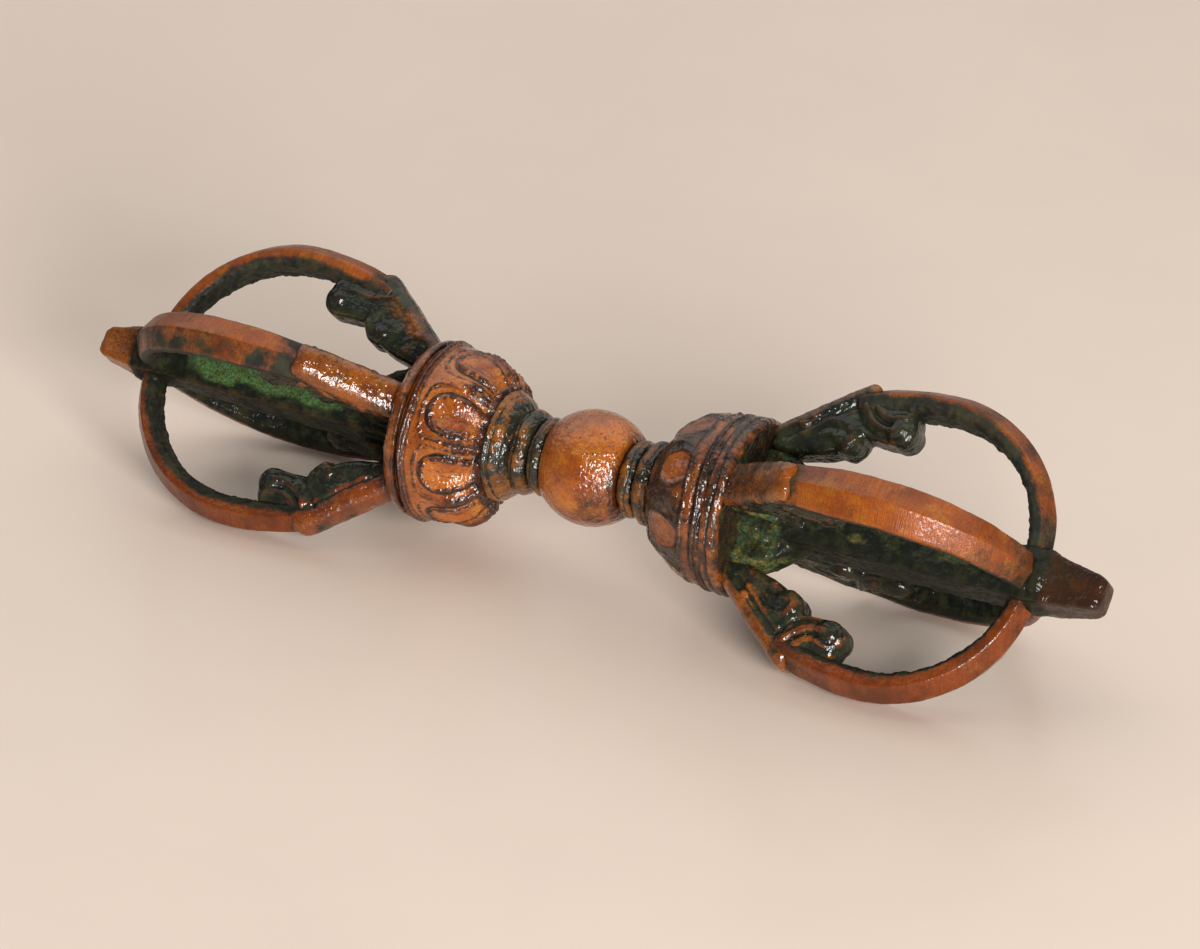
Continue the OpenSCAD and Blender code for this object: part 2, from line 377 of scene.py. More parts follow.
@dataclass(frozen=True)
class CopperFinish:
    """Lacquered cast copper that runs from polished to black patina and verdigris."""

    name: str
    bright: Triple = (0.54, 0.145, 0.006)
    deep: Triple = (0.25, 0.046, 0.004)
    gold: Triple = (0.48, 0.175, 0.008)
    soot: Triple = (0.016, 0.013, 0.009)
    patina_and_shade: Triple = (0.010, 0.013, 0.009)
    olive: Triple = (0.032, 0.034, 0.014)
    verdigris: Triple = (0.052, 0.135, 0.030)
    moss: Triple = (0.095, 0.090, 0.020)
    pits: float = 0.8
    metal: float = 0.06
    gloss: float = 0.38
    gloss_spread: float = 0.25
    coat: float = 1.0
    coat_gloss: float = 0.03
    coat_ior: float = 1.7
    matt: float = 0.7
    specular: float = 0.03
    file_marks: float = 0.0
    grain_bump: float = 0.3
    grain_depth: float = 0.25
    sparkle: float = 0.6
    lacquer_depth: float = 0.27
    patina_spread: float = 0.55
    bloom_spread: float = 1.1
    groove_soot: float = 0.7
    groove_dull: float = 0.35
    dark_dull: float = 0.35
    green_dull: float = 0.30
    green_cover: float = 0.9
    pit_clusters: float = 0.3
    bump_shares: Triple = (0.7, 0.6, 0.5)

    def material(self) -> Material:
        """Builds the finish.

        Returns:
            The material, which reads three layers: the dark one, of patina and painted shade, then verdigris and
                hollow.
        """
        g = Graph(self.name)
        n = {name: g.noise(*recipe) for name, recipe in NOISES.items()}

        def step(value: Socket, name: str) -> Socket:
            """Maps a value by one of the named rises."""
            return g.step(value, *STEPS[name])

        hollow, fine = g.layer("hollow"), n["fine"]
        stain = g.times(g.minus(g.plus(n["grain"], fine), 1.0), self.patina_spread)
        dark = step(g.plus(g.layer("patina_and_shade"), stain), "dark")
        groove = step(hollow, "groove")
        pit = g.times(step(g.plus(n["speck"], g.times(n["patch"], self.pit_clusters)), "pit"), self.pits)
        copper = g.mix(step(n["cloud"], "deep"), self.bright, self.deep)
        copper = g.mix(step(n["tint"], "gold"), copper, self.gold)
        copper = g.mix(step(fine, "fine"), copper, self.deep)
        copper = g.mix(g.times(step(n["marks"], "marks"), self.file_marks), copper, self.deep)
        copper = g.mix(groove, copper, self.soot)
        skin = g.mix(step(n["patch"], "olive"), self.patina_and_shade, self.olive)
        skin = g.mix(step(hollow, "edge"), skin, self.deep)
        skin = g.mix(g.times(groove, self.groove_soot), skin, self.patina_and_shade)
        bloom = g.times(g.minus(n["bloom"], 0.5), self.bloom_spread)
        green = step(g.plus(g.layer("verdigris"), bloom), "green")
        growth = g.mix(step(n["growth"], "moss"), self.verdigris, self.moss)
        growth = g.mix(step(fine, "crumbs"), growth, self.patina_and_shade)
        colour = g.mix(g.times(green, self.green_cover), g.mix(dark, copper, skin), growth)
        covered = g.most(dark, green)
        bare = g.times(g.minus(1.0, covered), g.minus(1.0, g.most(pit, groove)))
        rough = g.plus(self.gloss, g.times(g.minus(fine, 0.5), self.gloss_spread))
        rough = g.plus(rough, g.times(dark, self.dark_dull * self.matt))
        dull = g.most(g.times(covered, self.matt), g.times(groove, self.groove_dull))
        height = g.plus(g.times(n["grain"], self.bump_shares[0]), g.times(fine, self.bump_shares[1]))
        height = g.minus(height, g.times(pit, self.bump_shares[2]))
        height = g.plus(height, g.times(n["marks"], self.file_marks))
        return g.surface({
            "Base Color": g.mix(pit, colour, self.soot),
            "Metallic": g.times(bare, self.metal),
            "Roughness": g.math("ADD", rough, g.times(green, self.green_dull), clamp=True),
            "Specular IOR Level": self.specular,
            "Normal": g.relief(self.grain_bump, self.grain_depth, height),
            "Coat Weight": g.times(g.minus(1.0, dull), self.coat),
            "Coat Roughness": self.coat_gloss,
            "Coat IOR": self.coat_ior,
            "Coat Normal": g.relief(self.sparkle, self.lacquer_depth, g.plus(n["beads"], n["runs"])),
        })


class Finishes:
    """Makes each finish once and hands it out by name."""

    POLISHED = CopperFinish(
        "polished_copper", patina_and_shade=(0.020, 0.010, 0.006), olive=(0.085, 0.018, 0.006), matt=0.2, sparkle=0.82,
    )
    FILED = CopperFinish(
        "filed_copper", bright=(0.41, 0.094, 0.004), deep=(0.22, 0.043, 0.004), gold=(0.43, 0.148, 0.006),
        pits=0.3, file_marks=0.8, sparkle=0.3, coat=0.25, specular=0.38,
    )
    RED = CopperFinish(
        "red_copper", bright=(0.25, 0.047, 0.004), deep=(0.11, 0.022, 0.004), gold=(0.27, 0.068, 0.005),
        pits=0.3, file_marks=0.6, sparkle=0.5, coat=0.5, specular=0.1,
    )
    DULL = CopperFinish(
        "dull_copper", bright=(0.44, 0.108, 0.006), deep=(0.18, 0.036, 0.005), gold=(0.38, 0.112, 0.006),
        patina_and_shade=(0.020, 0.012, 0.008), olive=(0.058, 0.026, 0.010), matt=0.25, sparkle=0.75,
    )
    BRONZED = CopperFinish(
        "bronzed_neck", bright=(0.29, 0.090, 0.006), deep=(0.105, 0.036, 0.005), gold=(0.34, 0.115, 0.007),
        olive=(0.034, 0.028, 0.010), coat=0.8, matt=0.0, sparkle=0.9,
    )
    LIP = CopperFinish(
        "lip_copper", bright=(0.38, 0.100, 0.005), deep=(0.14, 0.031, 0.004), gold=(0.38, 0.130, 0.007),
        patina_and_shade=(0.012, 0.015, 0.010), olive=(0.036, 0.040, 0.017), pits=0.25, coat=0.9, matt=0.4,
        file_marks=0.5, sparkle=0.5,
    )
    RED_LIP = replace(
        LIP, name="red_lip_copper", bright=(0.25, 0.048, 0.004), deep=(0.10, 0.020, 0.004), gold=(0.29, 0.082, 0.006),
    )
    PATINA = CopperFinish(
        "green_black_patina", bright=(0.088, 0.021, 0.005), deep=(0.036, 0.011, 0.005), gold=(0.085, 0.027, 0.005),
        patina_and_shade=(0.012, 0.014, 0.010), olive=(0.026, 0.027, 0.013), verdigris=(0.070, 0.125, 0.052),
        moss=(0.235, 0.195, 0.046), coat=0.5, matt=0.6, grain_bump=0.22, sparkle=0.45,
    )
    MOSSY = CopperFinish(
        "mossy_patina", bright=(0.34, 0.092, 0.008), deep=(0.165, 0.043, 0.006), gold=(0.28, 0.090, 0.008),
        verdigris=(0.118, 0.245, 0.075), moss=(0.105, 0.165, 0.046), coat=0.5, sparkle=0.5,
    )

    def __init__(self) -> None:
        """Starts with no material made."""
        self.made: dict[str, Material] = {}

    def get(self, finish: CopperFinish) -> Material:
        """Gives a finish's material, making it at its first use.

        Args:
            finish: The finish.

        Returns:
            Its material.
        """
        if finish.name not in self.made:
            self.made[finish.name] = finish.material()
        return self.made[finish.name]


class Casting:
    """One cast piece on its way from a bmesh in mm to an object in the scene."""

    def __init__(self, node: str, bm: BMesh) -> None:
        """Takes over a finished bmesh.

        Args:
            node: The CAD node that the piece stands for.
            bm: The piece in its own mm; it is freed here.
        """
        self.node = node
        bmesh.ops.remove_doubles(bm, verts=bm.verts, dist=1e-4)
        bmesh.ops.recalc_face_normals(bm, faces=bm.faces)
        self.mesh = bpy.data.meshes.new(f"{node}_metal")
        bm.to_mesh(self.mesh)
        bm.free()

    @staticmethod
    def read(rows: bpy.types.bpy_prop_collection, name: str, width: int = 3) -> Array:
        """Reads a vector or a single value from each row.

        Args:
            rows: The mesh's vertices, normals or layer.
            name: The value's name.
            width: How many numbers it has.

        Returns:
            The numbers, in one row for each.
        """
        flat = np.empty(len(rows) * width, np.float64)
        rows.foreach_get(name, flat)
        return flat.reshape(-1, width)

    @property
    def points(self) -> Array:
        """The vertices in mm."""
        return self.read(self.mesh.vertices, "co")

    @points.setter
    def points(self, value: Array) -> None:
        """Moves the vertices."""
        self.mesh.vertices.foreach_set("co", value.ravel())
        self.mesh.update()

    @property
    def normals(self) -> Array:
        """The vertex normals."""
        return self.read(self.mesh.vertex_normals, "vector")

    def layer(self, name: str) -> Array:
        """Gives one of the mesh's own layers."""
        return self.read(self.mesh.attributes[name].data, "value", 1)[:, 0]

    def averaged(self, values: Array, rounds: int) -> Array:
        """Averages values over neighbouring vertices.

        Args:
            values: One row for each vertex.
            rounds: How many times the average is taken.

        Returns:
            The averaged rows.
        """
        ends = np.empty(len(self.mesh.edges) * 2, np.int64)
        self.mesh.edges.foreach_get("vertices", ends)
        a, b = ends[0::2], ends[1::2]
        count = np.bincount(ends, minlength=len(values)).clip(1)
        out = values.astype(np.float64)
        for _ in range(rounds):
            total = np.empty_like(out)
            for k in range(out.shape[1]):
                total[:, k] = np.bincount(a, out[b, k], len(out)) + np.bincount(b, out[a, k], len(out))
            out = 0.5 * out + 0.5 * total / count[:, None]
        return out

    def relax(self, rounds: int) -> None:
        """Smooths the whole piece a little."""
        self.points = self.averaged(self.points, rounds)

    def roughen(self, amount: float | Array, wave: float, seed: float) -> None:
        """Moves the skin in and out along its normals.

        Args:
            amount: The largest move in mm, or one for each vertex.
            wave: The longest wave in mm.
            seed: Picks another stretch of the random field.
        """
        points = self.points
        move = roughness_of(points, wave, seed) * amount
        self.points = points + self.normals * move[:, None]

    def hollows(self, rounds: int, gain: float) -> Array:
        """Finds grooves and ridges by comparing the skin with its smoothed self.

        Args:
            rounds: How far the smoothing reaches.
            gain: How strongly a depth in mm counts.

        Returns:
            One value for each vertex: 0.5 on plain skin, more in grooves, less on ridges.
        """
        points = self.points
        depth = ((self.averaged(points, rounds) - points) * self.normals).sum(1)
        return np.clip(0.5 + gain * depth, 0.0, 1.0)

    def settle(self, place: Matrix, finish: Material, slot: Slot, masks: Masks) -> None:
        """Puts the piece in the scene.

        Args:
            place: The matrix from the piece's mm to the scene's metres.
            finish: The piece's material.
            slot: Not used. The record's slot.
            masks: Layers for the finish, one value for each vertex; verdigris may be left out.
        """
        for name in ("patina_and_shade", "verdigris", "hollow"):
            values = masks.get(name, np.zeros(len(self.mesh.vertices)))
            layer = self.mesh.attributes.new(name, "FLOAT", "POINT")
            layer.data.foreach_set("value", np.clip(values, 0.0, 1.0).astype(np.float32))
        self.mesh.transform(place)
        self.mesh.materials.append(finish)
        self.mesh.shade_smooth()
        self.mesh.update()
        piece = linked(self.mesh.name, self.mesh)
        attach(piece, "root")
        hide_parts(self.node)
        LOG.info("%s: %d faces", piece.name, len(self.mesh.polygons))


class Shapes:
    """Simple solids that the castings are melted from."""

    @staticmethod
    def blob(bm: BMesh, centre: Iterable[float], radii: Iterable[float], tilt: float = 0.0) -> None:
        """Adds a ball stretched by its radii and turned about Z by a tilt in degrees."""
        place = (
            Matrix.Translation(Vector(centre))
            @ Matrix.Rotation(math.radians(tilt), 4, "Z")
            @ Matrix.Diagonal((*radii, 1.0))
        )
        bmesh.ops.create_icosphere(bm, subdivisions=4, radius=1.0, matrix=place)

    @staticmethod
    def drum(bm: BMesh, centre: Iterable[float], radius: float, width: float, bevel: float) -> None:
        """Adds a drum that lies across the prong, with rounded rims.

        Args:
            bm: The bmesh to add to.
            centre: The drum's centre.
            radius: Its radius.
            width: Its width.
            bevel: The rounding of its rims.
        """
        made = bmesh.ops.create_cone(
            bm, cap_ends=True, segments=48, radius1=radius, radius2=radius, depth=width,
            matrix=Matrix.Translation(Vector(centre)),
        )["verts"]
        rims = [e for e in {e for v in made for e in v.link_edges} if any(len(f.verts) > 4 for f in e.link_faces)]
        bmesh.ops.bevel(bm, geom=rims, offset=bevel, segments=4, profile=0.5, affect="EDGES", material=-1)

    @staticmethod
    def slab(bm: BMesh, outline: Iterable[Pair], width: float, bevel: float) -> None:
        """Adds a side view pulled out across the prong, with rounded edges.

        Args:
            bm: The bmesh to add to.
            outline: The side view's corners.
            width: The slab's width.
            bevel: The rounding of its edges.
        """
        face = bm.faces.new([bm.verts.new((x, y, -width / 2.0)) for x, y in outline])
        grown = bmesh.ops.extrude_face_region(bm, geom=[face])["geom"]
        top = [v for v in grown if isinstance(v, bmesh.types.BMVert)]
        bmesh.ops.translate(bm, verts=top, vec=(0.0, 0.0, width))
        verts = set(face.verts) | set(top)
        edges = {e for v in verts for e in v.link_edges}
        bmesh.ops.recalc_face_normals(bm, faces=list({f for v in verts for f in v.link_faces}))
        bmesh.ops.bevel(bm, geom=list(edges), offset=bevel, segments=3, profile=0.5, affect="EDGES", material=-1)

    @staticmethod
    def fused(bm: BMesh, voxel: float) -> BMesh:
        """Melts overlapping solids into one skin.

        Args:
            bm: The solids; it is freed here.
            voxel: The size of the skin's grid in mm.

        Returns:
            The one skin.
        """
        mesh = bpy.data.meshes.new("fusing")
        bmesh.ops.recalc_face_normals(bm, faces=bm.faces)
        bm.to_mesh(mesh)
        bm.free()
        holder = linked("fusing", mesh)
        melt = holder.modifiers.new("melt", "REMESH")
        melt.mode = "VOXEL"
        melt.voxel_size = voxel
        done = holder.evaluated_get(bpy.context.evaluated_depsgraph_get())
        out = bmesh.new()
        out.from_mesh(done.data)
        bpy.data.objects.remove(holder)
        bpy.data.meshes.remove(mesh)
        return out


@dataclass(frozen=True)
class Profile:
    """A turned outline: points of length, radius and how densely the stretch before each is cut."""

    points: tuple[Triple, ...]

    @staticmethod
    def arc(x: float, r: float, radius: float, start: float, end: float, count: int) -> list[Triple]:
        """Gives points on an arc about (x, r), between two angles in degrees from +X outwards."""
        angles = np.radians(np.linspace(start, end, count))
        return [(x + radius * math.cos(a), r + radius * math.sin(a), 1.0) for a in angles]

    def at(self, share: Array) -> tuple[Array, Array, Array, Array]:
        """Follows the outline.

        Args:
            share: How far along, from 0 to 1.

        Returns:
            Length, radius, and the outward normal's parts along and across the axis.
        """
        p = np.array(self.points)
        step = np.hypot(np.diff(p[:, 0]), np.diff(p[:, 1])) * p[1:, 2]
        mark = np.concatenate([[0.0], np.cumsum(step)]) / step.sum()
        x, r = np.interp(share, mark, p[:, 0]), np.interp(share, mark, p[:, 1])
        d = 0.004
        lo, hi = np.clip(share - d, 0.0, 1.0), np.clip(share + d, 0.0, 1.0)
        dx = np.interp(hi, mark, p[:, 0]) - np.interp(lo, mark, p[:, 0])
        dr = np.interp(hi, mark, p[:, 1]) - np.interp(lo, mark, p[:, 1])
        size = np.hypot(dx, dr).clip(1e-9)
        return x, r, -dr / size, dx / size

    def turned(self, node: str, cuts: int, steps: int, relief: Relief | None = None) -> Casting:
        """Turns the outline about the axis and carves it.

        Args:
            node: The CAD node that the piece stands for.
            cuts: Cuts along the outline.
            steps: Steps around.
            relief: Gives the carving's height and its dark lines from length, radius and angle.

        Returns:
            The casting, with the dark lines in its layer ink.
        """
        bm = bmesh.new()
        bmesh.ops.create_grid(bm, x_segments=cuts, y_segments=steps, size=0.5)
        ink = bm.verts.layers.float.new("ink")
        flat = np.array([v.co for v in bm.verts])
        angle = 2.0 * math.pi * flat[:, 1]
        x, r, nx, nr = self.at((flat[:, 0] + 0.5).clip(0.0, 1.0))
        height, lines = relief(x, r, angle) if relief else (np.zeros_like(x), np.zeros_like(x))
        height = height * smooth_step(0.3, 2.0, r)
        x, r = x + nx * height, (r + nr * height).clip(0.0)
        y, z = r * np.cos(angle), r * np.sin(angle)
        for v, place, dark in zip(bm.verts, zip(x, y, z), lines):
            v.co = place
            v[ink] = dark
        return Casting(node, bm)


@dataclass
class Neck:
    """The hub ball, its bead rings and the left collar."""

    layout: Layout
    finishes: Finishes
    ball_r: float = 7.35
    ball_flat: float = 5.2
    ring_in: Pair = (2.2, 5.0)
    ring_out: Pair = (2.6, 5.45)
    collar: Pair = (2.2, 6.6)
    flare: tuple[Pair, ...] = (
        (-0.45, 5.0), (-0.1, 5.6), (0.4, 6.15), (1.0, 6.6), (1.7, 6.95), (2.2, 7.1), (2.6, 6.95), (2.75, 6.4),
    )

    def build(self) -> None:
        """Builds the ball, then the rings outwards at each end."""
        self.ball()
        for end in End:
            start = self.ball_flat
            for kind, (width, radius) in (("ring_inner", self.ring_in), ("ring_outer", self.ring_out)):
                self.bead(f"{kind}_{end.value}", end, start, width, radius)
                start += width
            if end is End.LEFT:
                self.bead("collar_left", end, start, *self.collar)

    def ball(self) -> None:
        """Builds the hub ball with its two flats."""
        edge = math.degrees(math.acos(self.ball_flat / self.ball_r))
        skirt = self.ball_r * math.sin(math.radians(edge))
        outline = Profile((
            (-self.ball_flat, 0.0, 1.0),
            (-self.ball_flat, skirt, 0.2),
            *Profile.arc(0.0, 0.0, self.ball_r, 180.0 - edge, edge, 40),
            (self.ball_flat, 0.0, 0.2),
        ))
        piece = outline.turned("hub_ball", 110, 220)
        piece.roughen(0.05, 5.0, 1.0)
        p = piece.points
        # Painted shade: the ball is darker towards its lower right and next to the right rings.
        worn = 0.52 * smooth_step(-1.0, 4.4, p[:, 0] - 0.8 * p[:, 2]) + 0.3 * smooth_step(4.0, 5.2, p[:, 0])
        masks = {"patina_and_shade": worn + 0.02 + 0.25 * roughness_of(p, 2.4, 2.0), "hollow": piece.hollows(6, 6.0)}
        piece.settle(self.layout.along(End.RIGHT), self.finishes.get(Finishes.POLISHED), Slot.POLISHED, masks)

    def bead(self, node: str, end: End, start: float, width: float, radius: float) -> None:
        """Builds one turned ring.

        Args:
            node: The ring's CAD node.
            end: The end that it is on.
            start: Where it starts along the axis.
            width: Its width.
            radius: Its outer radius.
        """
        seed = start + (3.0 if end is End.LEFT else 11.0)
        half, collar = width / 2.0, node.startswith("collar")
        outline = Profile((
            (start, 0.0, 1.0),
            (start, radius - half, 0.15),
            *Profile.arc(start + half, radius - half, half, 180.0, 0.0, 24),
            (start + width, 0.0, 0.15),
        ))
        if collar:
            outline = Profile((
                (start + self.flare[0][0], 0.0, 1.0),
                *((start + x, r, 0.15 if k == 0 else 1.0) for k, (x, r) in enumerate(self.flare)),
                (start + self.flare[-1][0], 0.0, 0.15),
            ))

        def carve(x: Array, r: Array, a: Array) -> Carving:
            """Cuts a thin wandering line into the bead."""
            wander = 0.12 * np.sin(2.0 * a + seed) + 0.08 * np.sin(5.0 * a + 2.0 * seed)
            return tuple(k * bump(x, start + 0.66 * width + wander, 0.16) for k in (-0.12, 0.5))

        piece = outline.turned(node, 60, 200, carve)
        piece.roughen(0.16, 2.6, seed)
        p = piece.points
        rim = np.hypot(p[:, 1], p[:, 2])
        # The crest is lighter, partly a worn crest and partly a painted highlight, and the rings are lighter on their
        # lower side.
        crest = smooth_step(radius - 0.75, radius - 0.1, rim)
        top = 0.62
        tarnish = 1.0 - (0.40 if end is End.LEFT else 0.15) * smooth_step(-1.0, -4.0, p[:, 2])
        if collar:
            top = 0.4 + 0.6 * smooth_step(1.0, 5.0, p[:, 2])
            low = smooth_step(-0.5, -3.6, p[:, 2]) * smooth_step(start + 2.35, start + 1.9, p[:, 0])
            # The collar's lower part is lighter, and its edge against the cup is darkened as painted shade in the
            # gap.
            tarnish = 1.0 - 0.62 * low + 0.8 * smooth_step(start + 2.0, start + 2.5, p[:, 0])
        masks = {
            "patina_and_shade": tarnish - 0.72 * crest * top + 0.4 * piece.layer("ink") + 0.8 * roughness_of(p, 2.2, seed),
            "hollow": piece.hollows(8, 5.0),
        }
        piece.settle(self.layout.along(end), self.finishes.get(Finishes.BRONZED), Slot.DARK, masks)


@dataclass
class EndPart:
    """What belongs to one end of the dorje."""

    layout: Layout
    finishes: Finishes
    end: End

    @property
    def sizes(self) -> EndSizes:
        """The end's own sizes."""
        return SIZES[self.end]

    @property
    def left(self) -> bool:
        """Whether this is the left end."""
        return self.end is End.LEFT

    def pick(self, left: object, right: object) -> object:
        """Chooses between the two ends' values."""
        return left if self.left else right


@dataclass
class CornerPart(EndPart):
    """What stands at one of an end's four corners."""

    quarter: int

    @property
    def corner(self) -> str:
        """The corner's name."""
        return QUARTERS[self.end][self.quarter]

    @property
    def lower(self) -> bool:
        """Whether the corner lies below the axis."""
        return self.quarter > 1

    @property
    def place(self) -> Matrix:
        """The matrix from the corner's own mm to the scene's metres."""
        return self.layout.prong(self.end, self.quarter)


@dataclass
class LotusCup(EndPart):
    """A lotus cup with its moon disc at one end."""

    radius: float = 11.3
    inset: float = 0.3
    length: float = 10.2
    neck_r: float = 6.25
    lap: float = 0.02
    petals: int = 8

    @property
    def sag(self) -> Array:
        """The move that puts the left cup a little below the axis, as it was cast."""
        return np.array((0.0, 0.0, -self.pick(0.3, 0.0)))

    def build(self) -> None:
        """Builds the cup and then the disc."""
        self.cup()
        self.disc()

    def outline(self) -> Profile:
        """Gives the cup's plain outline, from the disc to the neck.

        Returns:
            The outline.
        """
        s = self.sizes
        wall, power = self.radius - self.inset, self.pick(2.45, 2.2)
        centre_r, centre_x = wall - s.dome, s.disc - (self.length - s.dome)
        shoulder = []
        for turn in np.radians(np.linspace(0.0, 90.0, 60)):
            x = centre_x - s.dome * math.sin(turn) ** (2.0 / power)
            r = centre_r + s.dome * max(math.cos(turn), 0.0) ** (2.0 / power)
            if r > self.neck_r:
                shoulder.append((x, r, 1.0))
        return Profile((
            (s.disc, 0.0, 1.0),
            (s.disc, wall - self.lap, 0.12),
            (s.disc - self.lap, wall, 1.0),
            *shoulder,
            (s.neck, self.neck_r - 0.6, 1.0),
            (s.neck, 0.0, 0.12),
        ))

    def petal_at(self, r: Array, turn: Array, sway: Pair) -> tuple[Array, Array, Array]:
        """Finds the petal that each point lies on.

        Args:
            r: Radius.
            turn: Angle around the axis.
            sway: How far the petals stray from their even places, and how fast that changes.

        Returns:
            The petal's number, and the distances from its middle line and inside its edge.
        """
        pitch = 2.0 * math.pi / self.petals
        slot = np.floor(turn / pitch + 0.5)
        off = turn - slot * pitch
        slot = slot % self.petals
        side = np.abs(off + sway[0] * np.sin(sway[1] * slot))
        return slot, side * r, (pitch * 0.5 - side) * r

    @staticmethod
    def cut(cuts: tuple[tuple[Array, float | Array, float], ...]) -> Carving:
        """Adds up cuts, each a shape, its depth in mm and its darkness, to a depth and dark lines."""
        depth = sum(deep * shape for shape, deep, _ in cuts)
        return depth, np.maximum.reduce([dark * shape for shape, _, dark in cuts])

    def carve_left(self, a: Array, r: Array, turn: Array) -> Carving:
        """Carves the left cup: a band by the rim and oval petals in chased lines.

        Args:
            a: Distance from the disc.
            r: Radius.
            turn: Angle around the axis.

        Returns:
            The carving's height and its dark lines.
        """
        spot = np.stack([a, r * np.cos(turn), r * np.sin(turn)], 1)
        punch = 0.3 + 0.7 * smooth_step(-0.35, 0.15, roughness_of(spot, 0.62, 61.0, 1))
        faint = smooth_step(-0.25, 0.25, roughness_of(spot, 5.0, 62.0, 1))
        line = a + 0.12 * np.sin(3.0 * turn + 0.7) + 0.08 * np.sin(7.0 * turn)
        slot, side, gap = self.petal_at(r, turn, (0.03, 2.3))
        wobble = 0.10 * roughness_of(spot, 2.4, 63.0, 1)
        start = 3.5 + 0.15 * np.sin(3.1 * slot + 1.0)
        inner = self.oval(a, side, 0.195 * r, (start + 0.25, 2.3), (10.4, 4.4)) + wobble
        outer = self.oval(a, side, 0.345 * r, (start - 1.05, 1.6), (20.0, 1.7)) + wobble
        far = smooth_step(4.8, 7.6, a)
        # The gaps between petals are cut and inked, and on the cup's lower side they are made wider and darker as
        # painted shade.
        lower = smooth_step(0.0, -0.35, np.sin(turn))
        chased = bump(inner, 0.14, 0.33) * punch
        trace = bump(outer, 0.0, 0.28) * (0.25 + 0.75 * punch) * (0.6 + 0.4 * faint)
        second = 0.7 * bump(line, 1.75, 0.12) * (1.0 - faint)
        wedge = far * bump(gap.clip(0.0), 0.0, 0.08 + (0.34 + 0.42 * lower) * far) * np.maximum(lower, punch)
        depth, ink = self.cut((
            (bump(line, 0.98, 0.36), 0.62, 1.5),
            (chased, 0.30, 1.4),
            (trace, 0.22, 1.35),
            (second, 0.10, 0.9),
            (wedge, 0.34 + 0.2 * lower, 1.25),
            # The dark band at the neck is painted shade in the gap against the collar, over a shallow cut.
            (smooth_step(8.1, 7.6, r), 0.2, 1.5),
            (bump(line, 0.90, 0.62) * faint, 0.0, 1.1),
        ))
        height = 0.12 + 0.18 * smooth_step(0.6, 0.3, a) + 0.10 * smooth_step(0.3, -0.5, outer)
        height += 0.50 * smooth_step(0.15, -2.3, inner) + 0.14 * bump(inner, 0.66, 0.36)
        height -= 0.08 * smooth_step(-0.1, 0.5, outer) + depth
        height += 0.13 * (chased + trace + 0.5 * wedge) * roughness_of(spot, 0.45, 64.0, 1)
        return height, ink

    @staticmethod
    def oval(a: Array, side: Array, half: Array, head: tuple[float | Array, float], tail: Pair) -> Array:
        """Measures how far points lie outside a petal with round ends.

        Args:
            a: Distance from the disc.
            side: Distance from the petal's middle line.
            half: The petal's half width there.
            head: Where the petal starts, and the length of that round end.
            tail: Where the petal stops, and the length of that round end.

        Returns:
            The distance in mm, negative inside the petal.
        """
        power = 2.3
        shares = [
            (side / half, half),
            (((head[0] + head[1] - a) / head[1]).clip(0.0), head[1]),
            (((a - tail[0] + tail[1]) / tail[1]).clip(0.0), tail[1]),
        ]
        norm = sum(share**power for share, _ in shares).clip(1e-9) ** (1.0 / power)
        slope = np.sqrt(sum(((share / norm) ** (power - 1.0) / size) ** 2 for share, size in shares))
        return (norm - 1.0) / slope.clip(0.1)

    def carve_right(self, a: Array, r: Array, turn: Array) -> Carving:
        """Carves the right cup: thin ridges by the rim and worn oval petals on lumpy ground.

        Args:
            a: Distance from the disc.
            r: Radius.
            turn: Angle around the axis.

        Returns:
            The carving's height and its dark lines.
        """
        spot = np.stack([a, r * np.cos(turn), r * np.sin(turn)], 1)
        lumps = roughness_of(spot, 3.6, 71.0, 2)
        faint = smooth_step(-0.3, 0.2, roughness_of(spot, 4.0, 72.0, 1))
        line = a + 0.14 * np.sin(2.0 * turn + 1.9) + 0.10 * np.sin(5.0 * turn) + 0.12 * lumps
        slot, side, gap = self.petal_at(r, turn, (0.04, 2.9))
        mid, half = 5.7 + 0.25 * np.sin(1.7 * slot), 2.35 + 0.2 * np.sin(2.1 * slot)
        out = (np.hypot(side / 2.15, (a - mid) / half) - 1.0) * 2.2 + 0.3 * lumps
        depth, ink = self.cut((
            (0.5 * bump(line, 0.05, 0.14), 0.30, 1.0),
            (bump(line, 0.72, 0.15) * faint, 0.28, 1.0),
            (bump(line, 1.25, 0.30), 0.44, 1.1),
            (bump(line, 3.2, 0.24) * (0.4 + 0.6 * faint), 0.28, 0.85),
            (bump(gap, 0.0, 0.9) * smooth_step(4.0, 6.5, a), 0.40, 0.7),
            (bump(out, 0.35, 0.35), 0.12, 0.35),
        ))
        height = 0.16 + 0.28 * lumps * smooth_step(1.0, 3.0, a) * smooth_step(-0.3, 0.5, out)
        height += 0.26 * smooth_step(0.3, -0.8, out) + 0.18 * bump(line, 1.85, 0.34) + 0.14 * bump(line, 3.75, 0.3)
        return height - depth, ink - 0.74 * smooth_step(0.2, -0.25, out)

    def cup(self) -> None:
        """Builds the carved cup."""
        s = self.sizes
        carve = self.pick(self.carve_left, self.carve_right)

        def relief(x: Array, r: Array, turn: Array) -> Carving:
            """Carves the cup's outside only."""
            height, ink = carve(s.disc - x, r, turn)
            return height * (smooth_step(s.disc, s.disc - 0.02, x) * smooth_step(s.neck - 0.01, s.neck + 0.6, x)), ink

